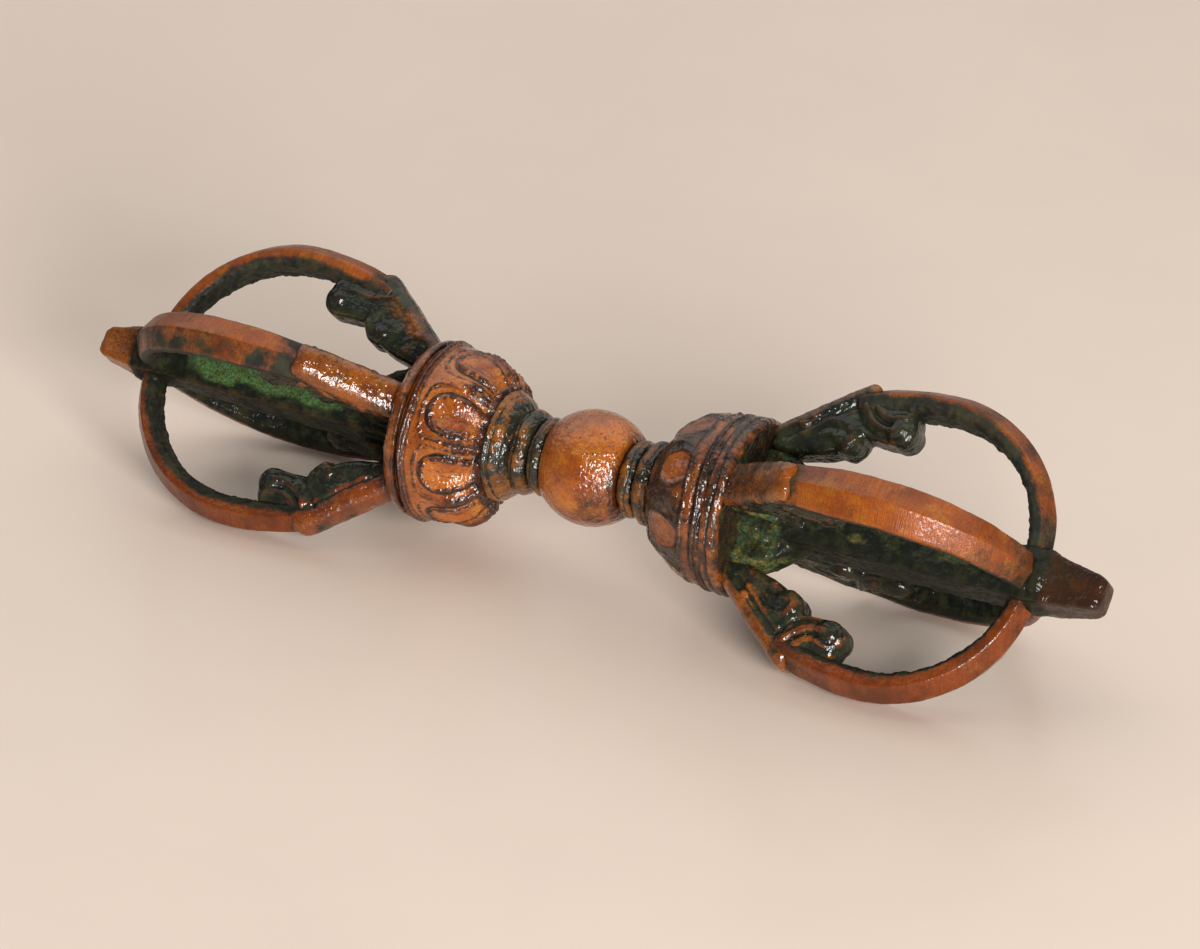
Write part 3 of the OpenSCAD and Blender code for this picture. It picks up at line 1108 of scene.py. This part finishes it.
        piece = self.outline().turned(f"lotus_{self.end.value}", 180, 500, relief)
        piece.relax(1)
        piece.roughen(self.pick(0.07, 0.12), 3.0, self.pick(5.0, 6.0))
        p = piece.points
        hollow, ink = piece.hollows(12, 5.0), piece.layer("ink")
        stain = roughness_of(p, 3.0, 8.0)
        if self.left:
            patina_and_shade = 0.02 + 0.95 * ink + 0.2 * smooth_step(0.56, 0.8, hollow) + 0.14 * stain
        else:
            ground = 0.22 * smooth_step(2.6, 4.2, s.disc - p[:, 0])
            patina_and_shade = 0.46 + 0.85 * ink + ground + 0.2 * smooth_step(0.55, 0.75, hollow) + 0.40 * stain
        piece.points = p + self.sag
        finish = self.finishes.get(self.pick(Finishes.POLISHED, Finishes.DULL))
        masks = {"patina_and_shade": patina_and_shade, "hollow": hollow}
        piece.settle(self.layout.along(self.end), finish, Slot.POLISHED, masks)

    def disc(self) -> None:
        """Builds the moon disc with its round rim."""
        s = self.sizes
        seed = self.pick(21.0, 22.0)
        soft, roll, drop = 0.04, self.pick(1.9, 0.9), self.pick(2.7, 1.0)
        outline = Profile((
            (s.disc, 0.0, 1.0),
            (s.disc, self.radius - soft, 0.12),
            *Profile.arc(s.disc + soft, self.radius - soft, soft, 180.0, 90.0, 10),
            *(
                (s.seat + roll * (math.sin(t) - 1.0), self.radius + drop * (math.cos(t) - 1.0), 1.0)
                for t in np.radians(np.linspace(0.0, 90.0, 17))
            ),
            (s.seat, 0.0, 0.6),
        ))

        def carve(x: Array, r: Array, turn: Array) -> Carving:
            """Cuts a worn line around the right disc's rim."""
            line = bump(x, s.disc + 0.85 + 0.12 * np.sin(3.0 * turn), 0.16) * smooth_step(10.0, 10.8, r)
            return self.pick(0.0, -0.16) * line, self.pick(0.0, 0.8) * line

        piece = outline.turned(f"moon_disc_{self.end.value}", 110, 260, carve)
        p = piece.points + self.sag
        piece.points = p
        face = smooth_step(s.seat - 0.5, s.seat - 0.1, p[:, 0])
        piece.roughen(0.10 + 0.06 * face, 2.2, seed)
        rim = np.hypot(p[:, 1], p[:, 2])
        inside = smooth_step(*self.pick((10.0, 8.9), (10.6, 9.6)), rim)
        plain = 0.28 + 0.5 * smooth_step(s.disc + 0.7, s.disc + 0.1, p[:, 0]) if self.left else 0.66
        masks = {
            "patina_and_shade": plain + 0.75 * inside + 0.4 * roughness_of(p, 1.4, seed) + piece.layer("ink"),
            "verdigris": face * (0.42 + 0.4 * roughness_of(p, 4.0, seed + 3.0)) * smooth_step(11.2, 10.0, rim),
            "hollow": piece.hollows(8, 5.0),
        }
        piece.settle(self.layout.along(self.end), self.finishes.get(Finishes.DULL), Slot.DARK, masks)


@dataclass(frozen=True)
class ProngWearAndShade:
    """How far below its eave one prong is polished in mm, how dark it has gone in which manner, and how much painted
    shade darkens its facet that faces down.
    """

    worn: float
    tarnish: float
    blotch: float = 0.12
    shade: float = 0.0
    fade: float = 0.0


WEAR_AND_SHADE: dict[End, tuple[ProngWearAndShade, ...]] = {
    End.LEFT: (ProngWearAndShade(0.0, 0.10, 0.40, 0.36), ProngWearAndShade(0.8, 0.14), ProngWearAndShade(0.6, 0.20), ProngWearAndShade(0.4, 0.02)),
    End.RIGHT: (ProngWearAndShade(0.3, 0.34), ProngWearAndShade(0.1, 0.04, fade=0.24), ProngWearAndShade(1.0, 0.10), ProngWearAndShade(0.5, 0.14)),
}


@dataclass
class OuterProng(CornerPart):
    """One curved outer prong with a gabled outer face."""

    height: float = 3.5
    ridge: float = 1.3
    crown: float = 20.8
    bow_r: float = 18.2
    root_r: float = 33.0
    root_turn: float = 22.0
    tip_share: float = 0.8
    chamfer: float = 0.7
    soft: float = 0.26

    def section(self) -> BMesh:
        """Draws the gabled section at the crown, with soft corners.

        Returns:
            The section's closed line, finely cut.
        """
        s = self.sizes
        half, low, eave = s.prong / 2.0, s.reach - self.height, s.reach - self.ridge
        corners = [
            (low, -half + self.chamfer), (low + self.chamfer, -half), (eave, -half), (s.reach, 0.0),
            (eave, half), (low + self.chamfer, half), (low, half - self.chamfer),
        ]
        bm = bmesh.new()
        bm.faces.new([bm.verts.new((self.crown, r, z)) for r, z in corners])
        bmesh.ops.bevel(
            bm, geom=bm.verts[:], offset=self.soft, segments=3, profile=0.5, affect="VERTICES", material=-1,
        )
        bmesh.ops.delete(bm, geom=bm.faces[:], context="FACES_ONLY")
        for edge in bm.edges[:]:
            cuts = int(edge.calc_length() / 0.2)
            if cuts:
                bmesh.ops.subdivide_edges(bm, edges=[edge], cuts=cuts)
        return bm

    def build(self) -> None:
        """Sweeps the section along both bows, then tapers and dresses it."""
        s = self.sizes
        bm = self.section()
        start = bm.verts[:] + bm.edges[:]
        sweeps = ((self.root_r, self.root_turn, 56), (self.bow_r, -90.0, 124))
        for radius, turn, steps in sweeps:
            bmesh.ops.spin(
                bm, geom=start, cent=(self.crown, s.reach - radius, 0.0), axis=(0.0, 0.0, 1.0),
                angle=math.radians(turn), steps=steps, use_duplicate=False,
            )
        bmesh.ops.holes_fill(bm, edges=[e for e in bm.edges if e.is_boundary], sides=0)
        piece = Casting(f"prong_{self.end.value}_{self.corner}", bm)
        seed = 30.0 + self.quarter + self.pick(0.0, 7.0)
        self.shape(piece, seed)
        finish = self.finishes.get(Finishes.RED if self.lower else Finishes.FILED)
        piece.settle(self.place, finish, Slot.POLISHED, self.masks(piece, seed))

    def bend(self, p: Array) -> tuple[Array, Array, Array]:
        """Reads where points lie along and below the prong's ridge.

        Args:
            p: Points in the prong's mm.

        Returns:
            The turn along the bow in degrees, the depth below the ridge line, and the bow's centre distance.
        """
        beyond = p[:, 0] > self.crown
        radius = np.where(beyond, self.bow_r, self.root_r)
        dy, dx = p[:, 1] - (self.sizes.reach - radius), p[:, 0] - self.crown
        turn = 90.0 - np.degrees(np.arctan2(dy, dx))
        reach = np.hypot(dx, dy)
        return turn, radius - reach, reach

    def shape(self, piece: Casting, seed: float) -> None:
        """Thins the prong to its tip and root, and gives it a hand-worked skin.

        Args:
            piece: The swept prong.
            seed: Picks the prong's own unevenness.
        """
        s = self.sizes
        p = piece.points
        turn, depth, reach = self.bend(p)
        tip = smooth_step(15.0, 90.0, turn)
        root = smooth_step(-5.0, -18.0, turn)
        wide = 1.0 - (1.0 - self.tip_share) * tip - 0.12 * root
        thin = 1.0 - 0.16 * smooth_step(5.0, 75.0, turn)
        grow = depth * (1.0 - thin)
        middle = np.where(p[:, 0] > self.crown, s.reach - self.bow_r, s.reach - self.root_r)
        centre = np.stack([np.full(len(p), self.crown), middle], 1)
        out = (p[:, :2] - centre) / reach[:, None].clip(1e-6)
        p[:, :2] += out * grow[:, None]
        p[:, 2] *= wide
        piece.points = p
        inner = smooth_step(self.ridge + 0.3, self.ridge + 1.2, depth)
        ragged = smooth_step(self.height - 0.9, self.height - 0.1, depth)
        piece.roughen(0.03 + 0.05 * inner + 0.13 * ragged, 1.1, seed)
        piece.roughen(0.12, 9.0, seed + 0.5)

    def masks(self, piece: Casting, seed: float) -> Masks:
        """Says where the prong is polished and where it is dark.

        Args:
            piece: The shaped prong.
            seed: Picks the prong's own stains.

        Returns:
            The finish's layers.
        """
        p, wear_and_shade = piece.points, WEAR_AND_SHADE[self.end][self.quarter]
        turn, depth, _ = self.bend(p)
        below = depth - self.ridge * np.abs(p[:, 2]) / (self.sizes.prong / 2.0)
        stain = roughness_of(p, 4.5, seed + 2.0)
        edge = below - wear_and_shade.worn + 0.22 * roughness_of(p, 1.0, seed + 6.0)
        lift = piece.normals[:, 2] * np.sign(self.place[2][2])
        patina_and_shade = smooth_step(-0.3, 1.4, edge) * 1.15 + 0.22 * stain + wear_and_shade.tarnish
        patina_and_shade += wear_and_shade.blotch * smooth_step(0.15, 0.65, roughness_of(p, 3.8, seed + 7.0))
        # The shade term darkens the facet that faces down: painted shade.
        patina_and_shade += wear_and_shade.fade * smooth_step(28.0, 62.0, turn) + wear_and_shade.shade * smooth_step(0.15, -0.15, lift)
        patina_and_shade += 0.12 * bump(below, 0.0, 0.45) * smooth_step(-0.2, 0.3, stain)
        patina_and_shade += 0.45 * smooth_step(66.0, 84.0, turn) * smooth_step(0.3, 0.9, below + 0.6)
        patina_and_shade += 0.35 * smooth_step(-12.5, -17.0, turn)
        green = smooth_step(1.0, 1.8, below) * (0.28 + 0.35 * roughness_of(p, 5.0, seed + 4.0))
        return {"patina_and_shade": patina_and_shade, "verdigris": green, "hollow": piece.hollows(10, 2.5)}


Carved = tuple[tuple[tuple[Pair, ...], float, float], ...]
JAW: tuple[Pair, ...] = (
    (-0.4, 12.6), (2.4, 12.7), (7.0, 11.6), (11.4, 9.2), (11.4, 3.0), (7.7, 4.4), (-0.4, 10.2),
)
SNOUT: tuple[Pair, ...] = (
    (10.1, 8.3), (15.4, 8.5), (17.1, 7.4), (17.4, 5.6), (16.8, 3.4), (11.0, 3.9), (10.0, 5.2),
)
CURLS: Carved = (
    (((10.3, 4.6), (11.4, 6.0), (13.2, 7.0), (14.8, 7.0)), 0.50, 0.62),
    (((10.9, 3.2), (12.3, 4.9), (14.0, 5.5), (15.8, 5.0)), 0.44, 0.55),
    (((3.6, 9.8), (4.4, 8.1), (6.6, 7.1), (8.9, 7.3), (10.0, 8.8), (9.4, 10.2)), 0.34, 0.7),
    (((1.6, 10.9), (5.4, 7.9), (9.9, 4.2)), -0.26, 0.28),
    (((9.0, 4.8), (10.2, 6.8), (12.4, 8.0), (14.2, 8.1)), -0.26, 0.30),
    (((10.6, 3.9), (11.9, 5.5), (13.6, 6.3), (14.4, 6.0)), -0.34, 0.24),
    (((5.6, 9.2), (6.4, 8.4), (7.6, 8.3)), -0.30, 0.45),
)
PLAIN_CURLS: Carved = ((((15.9, 5.2), (13.8, 4.9), (11.6, 5.4), (9.8, 5.0), (8.6, 4.6)), 0.20, 0.22),)


@dataclass
class MakaraHead(CornerPart):
    """One makara head: the sea-beast's mouth that holds an outer prong."""

    lip_t: float = 10.2
    lip_drop: float = 0.85
    root_drop: float = 9.0
    share: float = 0.93
    voxel: float = 0.15

    def rise(self) -> tuple[float, float]:
        """Gives the sine and cosine of the lip's slope."""
        lean = math.atan2(self.root_drop - self.lip_drop, self.lip_t)
        return math.sin(lean), math.cos(lean)

    def lip_frame(self, p: Array) -> tuple[Array, Array]:
        """Reads where points lie from the lip's end.

        Args:
            p: Points in the head's mm.

        Returns:
            The distances along the lip and under it.
        """
        sine, cosine = self.rise()
        t, r = p[:, 0] - self.lip_t, p[:, 1] - (self.sizes.reach - self.lip_drop)
        return t * cosine + r * sine, t * sine - r * cosine

    def lip(self, bm: BMesh, width: float) -> None:
        """Adds the upper lip: a fat rounded bar from the disc to its overhanging end.

        Args:
            bm: The bmesh to add to.
            width: The lip's width.
        """
        reach = self.sizes.reach
        sine, cosine = self.rise()
        fat = self.pick(1.2, 0.95)
        length = math.hypot(self.lip_t, self.root_drop - self.lip_drop)
        for along in np.linspace(-0.6, length - fat, 26):
            share = float(along) / length
            radius = fat * (0.85 + 0.15 * min(1.0, max(0.0, share * 2.0)) + 0.2 * max(0.0, (share - 0.7) / 0.3))
            t = along * cosine + radius * sine
            r = reach - self.root_drop + along * sine - radius * cosine
            taper = 1.0 - 0.24 * max(0.0, (share - 0.66) / 0.34) ** 2
            Shapes.drum(bm, (t, r - 0.1, 0.0), radius, width * taper, 0.8 * radius)

    def build(self) -> None:
        """Melts the head's forms into one casting and dresses it."""
        reach, width = self.sizes.reach, self.sizes.prong * self.share
        seed = 50.0 + self.quarter * 3.0 + self.pick(0.0, 13.0)
        bm = bmesh.new()
        self.lip(bm, width)
        for outline, wide, bevel in ((JAW, self.pick(0.97, 0.90), 0.9), (SNOUT, 0.86, 0.8)):
            Shapes.slab(bm, [(t, reach - drop) for t, drop in outline], width * wide, bevel)
        for t, drop, radius in ((8.9, 8.8, 2.15), (15.6, 6.5, 2.05)):
            Shapes.drum(bm, (t, reach - drop, 0.0), radius, width * 0.94, 0.95)
        for side in (-1.0, 1.0):
            z = side * width * 0.5
            Shapes.blob(bm, (6.6, reach - 8.6, z * 0.45), (3.1, 2.3, width * 0.30), 20.0)
            Shapes.blob(bm, (3.3, reach - 8.7, z * 0.84), (0.75, 0.7, 0.6))
            Shapes.blob(bm, (8.4, reach - 9.4, z * 0.88), (1.05, 0.95, 0.6))
            Shapes.blob(bm, (15.7, reach - 6.5, z * 0.90), (1.05, 1.05, 0.6))
        piece = Casting(f"makara_{self.end.value}_{self.corner}", Shapes.fused(bm, self.voxel))
        piece.relax(3)
        self.crown(piece, width)
        self.carve(piece)
        piece.roughen(0.12, 3.2, seed)
        piece.roughen(0.03, 0.8, seed + 1.0)
        finish = self.finishes.get(Finishes.RED_LIP if self.lower and self.left else Finishes.LIP)
        piece.settle(self.place, finish, Slot.GREEN, self.masks(piece, seed))

    def crown(self, piece: Casting, width: float) -> None:
        """Rounds the lip across its width.

        Args:
            piece: The melted head.
            width: The head's width.
        """
        p = piece.points
        sine, cosine = self.rise()
        under = self.lip_frame(p)[1]
        drop = 0.55 * np.abs(2.0 * p[:, 2] / width) ** 2.5 * smooth_step(2.2, 0.2, under)
        p[:, 0] += drop * sine
        p[:, 1] -= drop * cosine
        piece.points = p

    def carve(self, piece: Casting) -> None:
        """Raises the curled straps on the cheeks and cuts the lines between them.

        Args:
            piece: The melted head.
        """
        plain = self.left and self.quarter == 1
        deep = 0.85 if self.left and not plain else 1.0
        p, n = piece.points, piece.normals
        side = np.stack([p[:, 0], self.sizes.reach - p[:, 1]], 1)
        cheek = smooth_step(0.25, 0.65, np.abs(n[:, 2]))
        height = np.zeros(len(p))
        for line, rise, wide in PLAIN_CURLS if plain else CURLS:
            height += rise * bump(away_from(side, line), 0.0, wide)
        piece.points = p + n * (height * cheek * deep)[:, None]

    def masks(self, piece: Casting, seed: float) -> Masks:
        """Says where the head is worn to copper, and where painted shade darkens it.

        Args:
            piece: The finished head.
            seed: Picks the head's own stains.

        Returns:
            The finish's layers.
        """
        p = piece.points
        along, under = self.lip_frame(p)
        hollow = piece.hollows(12, 3.0)
        stain = roughness_of(p, 3.0, seed + 2.0)
        back = self.corner.endswith("back")
        shown = self.lower and not back
        low = self.pick(4.2, 2.2)
        lip = smooth_step(low, 0.3 * low, under + 0.5 * stain) * smooth_step(2.6, 0.9, along)
        front = smooth_step(-1.6, -0.4, along) * smooth_step(2.4, 1.2, under)
        crest = smooth_step(0.49, 0.30, hollow)
        up = piece.normals @ np.array(self.place.to_3x3())[2]
        base = 0.80 if shown and not self.left else 1.02
        patina_and_shade = base - self.pick(0.42 if back else 0.84, 0.56) * lip - self.pick(0.0, 0.7) * front
        patina_and_shade += 0.42 * stain - (0.52 if shown else 0.10) * crest
        # Lower heads are a little darker all over; on the upper heads, lip surfaces that face down are darkened as
        # painted shade.
        patina_and_shade += 0.12 if self.lower else 0.5 * smooth_step(0.15, -0.45, up) * lip
        root = smooth_step(6.0, 1.0, p[:, 0])
        green = (0.16 + 0.34 * root) * (1.0 - lip) + 0.3 * roughness_of(p, 4.0, seed + 5.0) - 0.06
        return {"patina_and_shade": patina_and_shade, "verdigris": green, "hollow": hollow}


@dataclass
class CentralProng(EndPart):
    """The square central prong with its shoulder and its tapered tip."""

    root_half: float = 3.6
    meet: float = 39.0
    voxel: float = 0.2

    def half_width(self, t: Array) -> Array:
        """Gives the prong's half width along its length.

        Args:
            t: Distance from the disc.

        Returns:
            The half width at each distance.
        """
        s = self.sizes
        tip = s.half - s.seat
        marks = (-2.0, 0.0, self.meet - 4.4, self.meet + 0.9, tip - 0.55, tip)
        return np.interp(t, marks, (self.root_half, self.root_half, s.shaft, s.shaft, s.tip, s.tip - 0.45))

    def bar(self) -> BMesh:
        """Makes the square bar from a cut block, tapered and turned between the prongs.

        Returns:
            The bar, its shoulder and the brazing lumps, still separate.
        """
        s = self.sizes
        tip = s.half - s.seat
        bm = bmesh.new()
        block = bmesh.ops.create_cube(bm, size=1.0)["verts"]
        bmesh.ops.scale(bm, verts=block, vec=(tip + 2.0, 2.0, 2.0))
        bmesh.ops.translate(bm, verts=block, vec=(tip / 2.0 - 1.0, 0.0, 0.0))
        long = [e for e in bm.edges if abs(e.verts[0].co.x - e.verts[1].co.x) > 1.0]
        bmesh.ops.subdivide_edges(bm, edges=long, cuts=46, use_grid_fill=True)
        for v in bm.verts:
            half = float(self.half_width(np.array([v.co.x]))[0])
            v.co.y *= half
            v.co.z *= half
        around = {"cent": (0.0, 0.0, 0.0)}
        bmesh.ops.rotate(bm, verts=bm.verts, matrix=Matrix.Rotation(math.radians(45.0), 3, "X"), **around)

        def turn_new(made: int, turn: Matrix) -> None:
            """Turns what was added since the bar had so many vertices."""
            bm.verts.ensure_lookup_table()
            bmesh.ops.rotate(bm, verts=bm.verts[made:], matrix=turn, **around)

        web = s.reach - 12.6
        rim = [(-0.6, -1.0), (-0.6, web + 0.3), (3.2, web), (4.8, web - 0.9), (8.4, s.shaft), (8.4, -1.0)]
        for quarter in range(4):
            turn = Matrix.Rotation(math.radians(45.0 + 90.0 * quarter), 3, "X")
            made = len(bm.verts)
            Shapes.slab(bm, rim, s.prong * 0.8, 0.8)
            turn_new(made, turn)
            for t, out, radii in (
                (self.meet - 2.2, s.shaft - 0.1, (2.6, 0.7, s.prong * 0.42)),
                (self.meet + 0.1, s.shaft - 0.1, (1.3, 0.9, s.prong * 0.40)),
            ):
                made = len(bm.verts)
                Shapes.blob(bm, (t, out, 0.0), radii)
                turn_new(made, turn)
        return bm

    def build(self) -> None:
        """Melts the bar and its lumps together and dresses it."""
        seed = self.pick(80.0, 84.0)
        piece = Casting(f"central_prong_{self.end.value}", Shapes.fused(self.bar(), self.voxel))
        piece.relax(6)
        p = piece.points
        foot = smooth_step(10.0, 6.5, p[:, 0])
        beyond = smooth_step(self.meet - 0.5, self.meet + 1.5, p[:, 0])
        piece.points = p + (piece.averaged(p, 16) - p) * np.maximum(foot, 0.6 * beyond)[:, None]
        joint = bump(p[:, 0], self.meet - 1.0, 2.6)
        piece.roughen(0.12 + 0.12 * joint + 0.30 * foot, 2.6, seed)
        piece.roughen(0.08 * (1.0 - 0.85 * beyond), 0.9, seed + 1.0)
        place = self.layout.along(self.end) @ Matrix.Translation((self.sizes.seat, 0.0, 0.0))
        finish = self.finishes.get(self.pick(Finishes.MOSSY, Finishes.PATINA))
        piece.settle(place, finish, Slot.GREEN, self.masks(piece, seed))

    def masks(self, piece: Casting, seed: float) -> Masks:
        """Says where the prong is green, black or worn to copper.

        Args:
            piece: The finished prong.
            seed: Picks its own stains.

        Returns:
            The finish's layers.
        """
        p, n = piece.points, piece.normals
        stain = roughness_of(p, 4.0, seed + 2.0)
        bare = smooth_step(self.meet + 0.2, self.meet + 2.0, p[:, 0])
        facing = math.radians(self.pick(45.0, 135.0))
        upper = smooth_step(0.55, 0.85, n[:, 1] * math.cos(facing) + n[:, 2] * math.sin(facing))
        stretch = smooth_step(4.0, 12.0, p[:, 0]) * smooth_step(36.0, 28.0, p[:, 0])
        across = (p[:, 2] * math.cos(facing) - p[:, 1] * math.sin(facing)) * self.pick(1.0, -1.0)
        band = smooth_step(-2.9, -0.8, across + 0.8 * stain)
        green = stretch * (0.10 + self.pick(1.05, 0.45) * upper * band)
        foot = self.pick(0.30, 0.70) * smooth_step(9.0, 4.0, p[:, 0])
        return {
            "patina_and_shade": 0.98 - self.pick(0.80, 0.50) * bare + 0.12 * stain,
            "verdigris": (green + foot) * (1.0 + 0.8 * roughness_of(p, 3.0, seed + 3.0)),
            "hollow": piece.hollows(8, 4.0),
        }


@dataclass
class Studio:
    """The pale floor, the soft light and the camera at the photograph's angle."""

    layout: Layout
    floor: Triple = (0.97, 0.795, 0.655)
    floor_half: float = 3.0
    floor_gloss: float = 0.32
    floor_specular: float = 0.35
    world: float = 0.14
    world_tint: Triple = (1.0, 0.99, 0.97)
    elevation: float = 28.8034
    azimuth: float = 27.0642
    roll: float = 1.1619
    distance: float = 1115.338
    slide: Pair = (0.691, -0.804)
    lens: float = 270.0
    sensor: float = 36.0

    def build(self) -> None:
        """Builds the floor, the lights and the camera."""
        self.ground()
        self.lights()
        self.camera()

    def ground(self) -> None:
        """Lays a plain pale floor under the object."""
        g = Graph("pale_floor")
        shade = g.step(g.noise(0.02, 3.0), 0.3, 0.7)
        warm = tuple(c * 0.97 for c in self.floor)
        finish = g.surface({
            "Base Color": g.mix(shade, self.floor, warm),
            "Roughness": self.floor_gloss,
            "Specular IOR Level": self.floor_specular,
        })
        bm = bmesh.new()
        bmesh.ops.create_grid(bm, x_segments=1, y_segments=1, size=self.floor_half)
        mesh = bpy.data.meshes.new("floor")
        bm.to_mesh(mesh)
        bm.free()
        mesh.materials.append(finish)
        linked("floor", mesh)

    def lamp(self, name: str, place: Vector, size: Pair, power: float) -> None:
        """Hangs one soft rectangular lamp that faces the object.

        Args:
            name: The lamp's name.
            place: Where it hangs, in metres.
            size: Its width and height in metres.
            power: Its power in watts.
        """
        data = bpy.data.lights.new(name, "AREA")
        data.shape = "RECTANGLE"
        data.size, data.size_y = size
        data.energy = power
        lamp = linked(name, data)
        lamp.location = place
        lamp.rotation_mode = "QUATERNION"
        aim = Vector((0.0, 0.0, self.layout.hub_z * MM)) - place
        lamp.rotation_quaternion = aim.to_track_quat("-Z", "Y")

    def toward(self, azimuth: float, elevation: float, distance: float) -> Vector:
        """Gives a point at a direction from the object.

        Args:
            azimuth: The direction around the object in degrees, 0 in front.
            elevation: Its height above the horizon in degrees.
            distance: How far away, in metres.

        Returns:
            The point in metres.
        """
        a, e = math.radians(azimuth), math.radians(elevation)
        flat = math.cos(e)
        return Vector((math.sin(a) * flat, -math.cos(a) * flat, math.sin(e))) * distance

    def lights(self) -> None:
        """Sets a broad lamp overhead, a smaller one in front and an even world."""
        self.lamp("overhead", self.toward(207.0, 60.0, 1.0), (2.4, 1.7), 9.3)
        self.lamp("front", self.toward(self.azimuth + 19.0, 19.0, 1.0), (0.43, 0.39), 10.7)
        world = bpy.data.worlds.new("studio")
        bpy.context.scene.world = world
        world.use_nodes = True
        back = world.node_tree.nodes["Background"]
        back.inputs["Color"].default_value = (*self.world_tint, 1.0)
        back.inputs["Strength"].default_value = self.world

    def camera(self) -> None:
        """Sets the camera where the photograph was taken from."""
        back = self.toward(self.azimuth, self.elevation, 1.0)
        side = Vector((math.cos(math.radians(self.azimuth)), math.sin(math.radians(self.azimuth)), 0.0))
        rise = back.cross(side)
        turn = math.radians(self.roll)
        right = side * math.cos(turn) + rise * math.sin(turn)
        up = rise * math.cos(turn) - side * math.sin(turn)
        eye = Vector((0.0, 0.0, self.layout.hub_z)) + back * self.distance
        eye += right * self.slide[0]
        eye += up * self.slide[1]
        data = bpy.data.cameras.new("camera")
        data.lens = self.lens
        data.sensor_fit = "HORIZONTAL"
        data.sensor_width = self.sensor
        data.clip_start, data.clip_end = 0.05, 20.0
        camera = linked("camera", data)
        axes = Matrix((right, up, back)).transposed()
        camera.matrix_world = Matrix.Translation(eye * MM) @ axes.to_4x4()
        bpy.context.scene.camera = camera


def main() -> None:
    """Builds every piece in order and sets the stage."""
    logging.basicConfig(level=logging.INFO, format="%(relativeCreated)7.0f %(name)s: %(message)s")
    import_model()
    bpy.context.scene.view_settings.view_transform = "Standard"
    layout, finishes = Layout(), Finishes()
    Neck(layout, finishes).build()
    for end in End:
        LotusCup(layout, finishes, end).build()
        CentralProng(layout, finishes, end).build()
        for quarter in range(4):
            OuterProng(layout, finishes, end, quarter).build()
            MakaraHead(layout, finishes, end, quarter).build()
    Studio(layout).build()


if __name__ == "__main__":
    main()
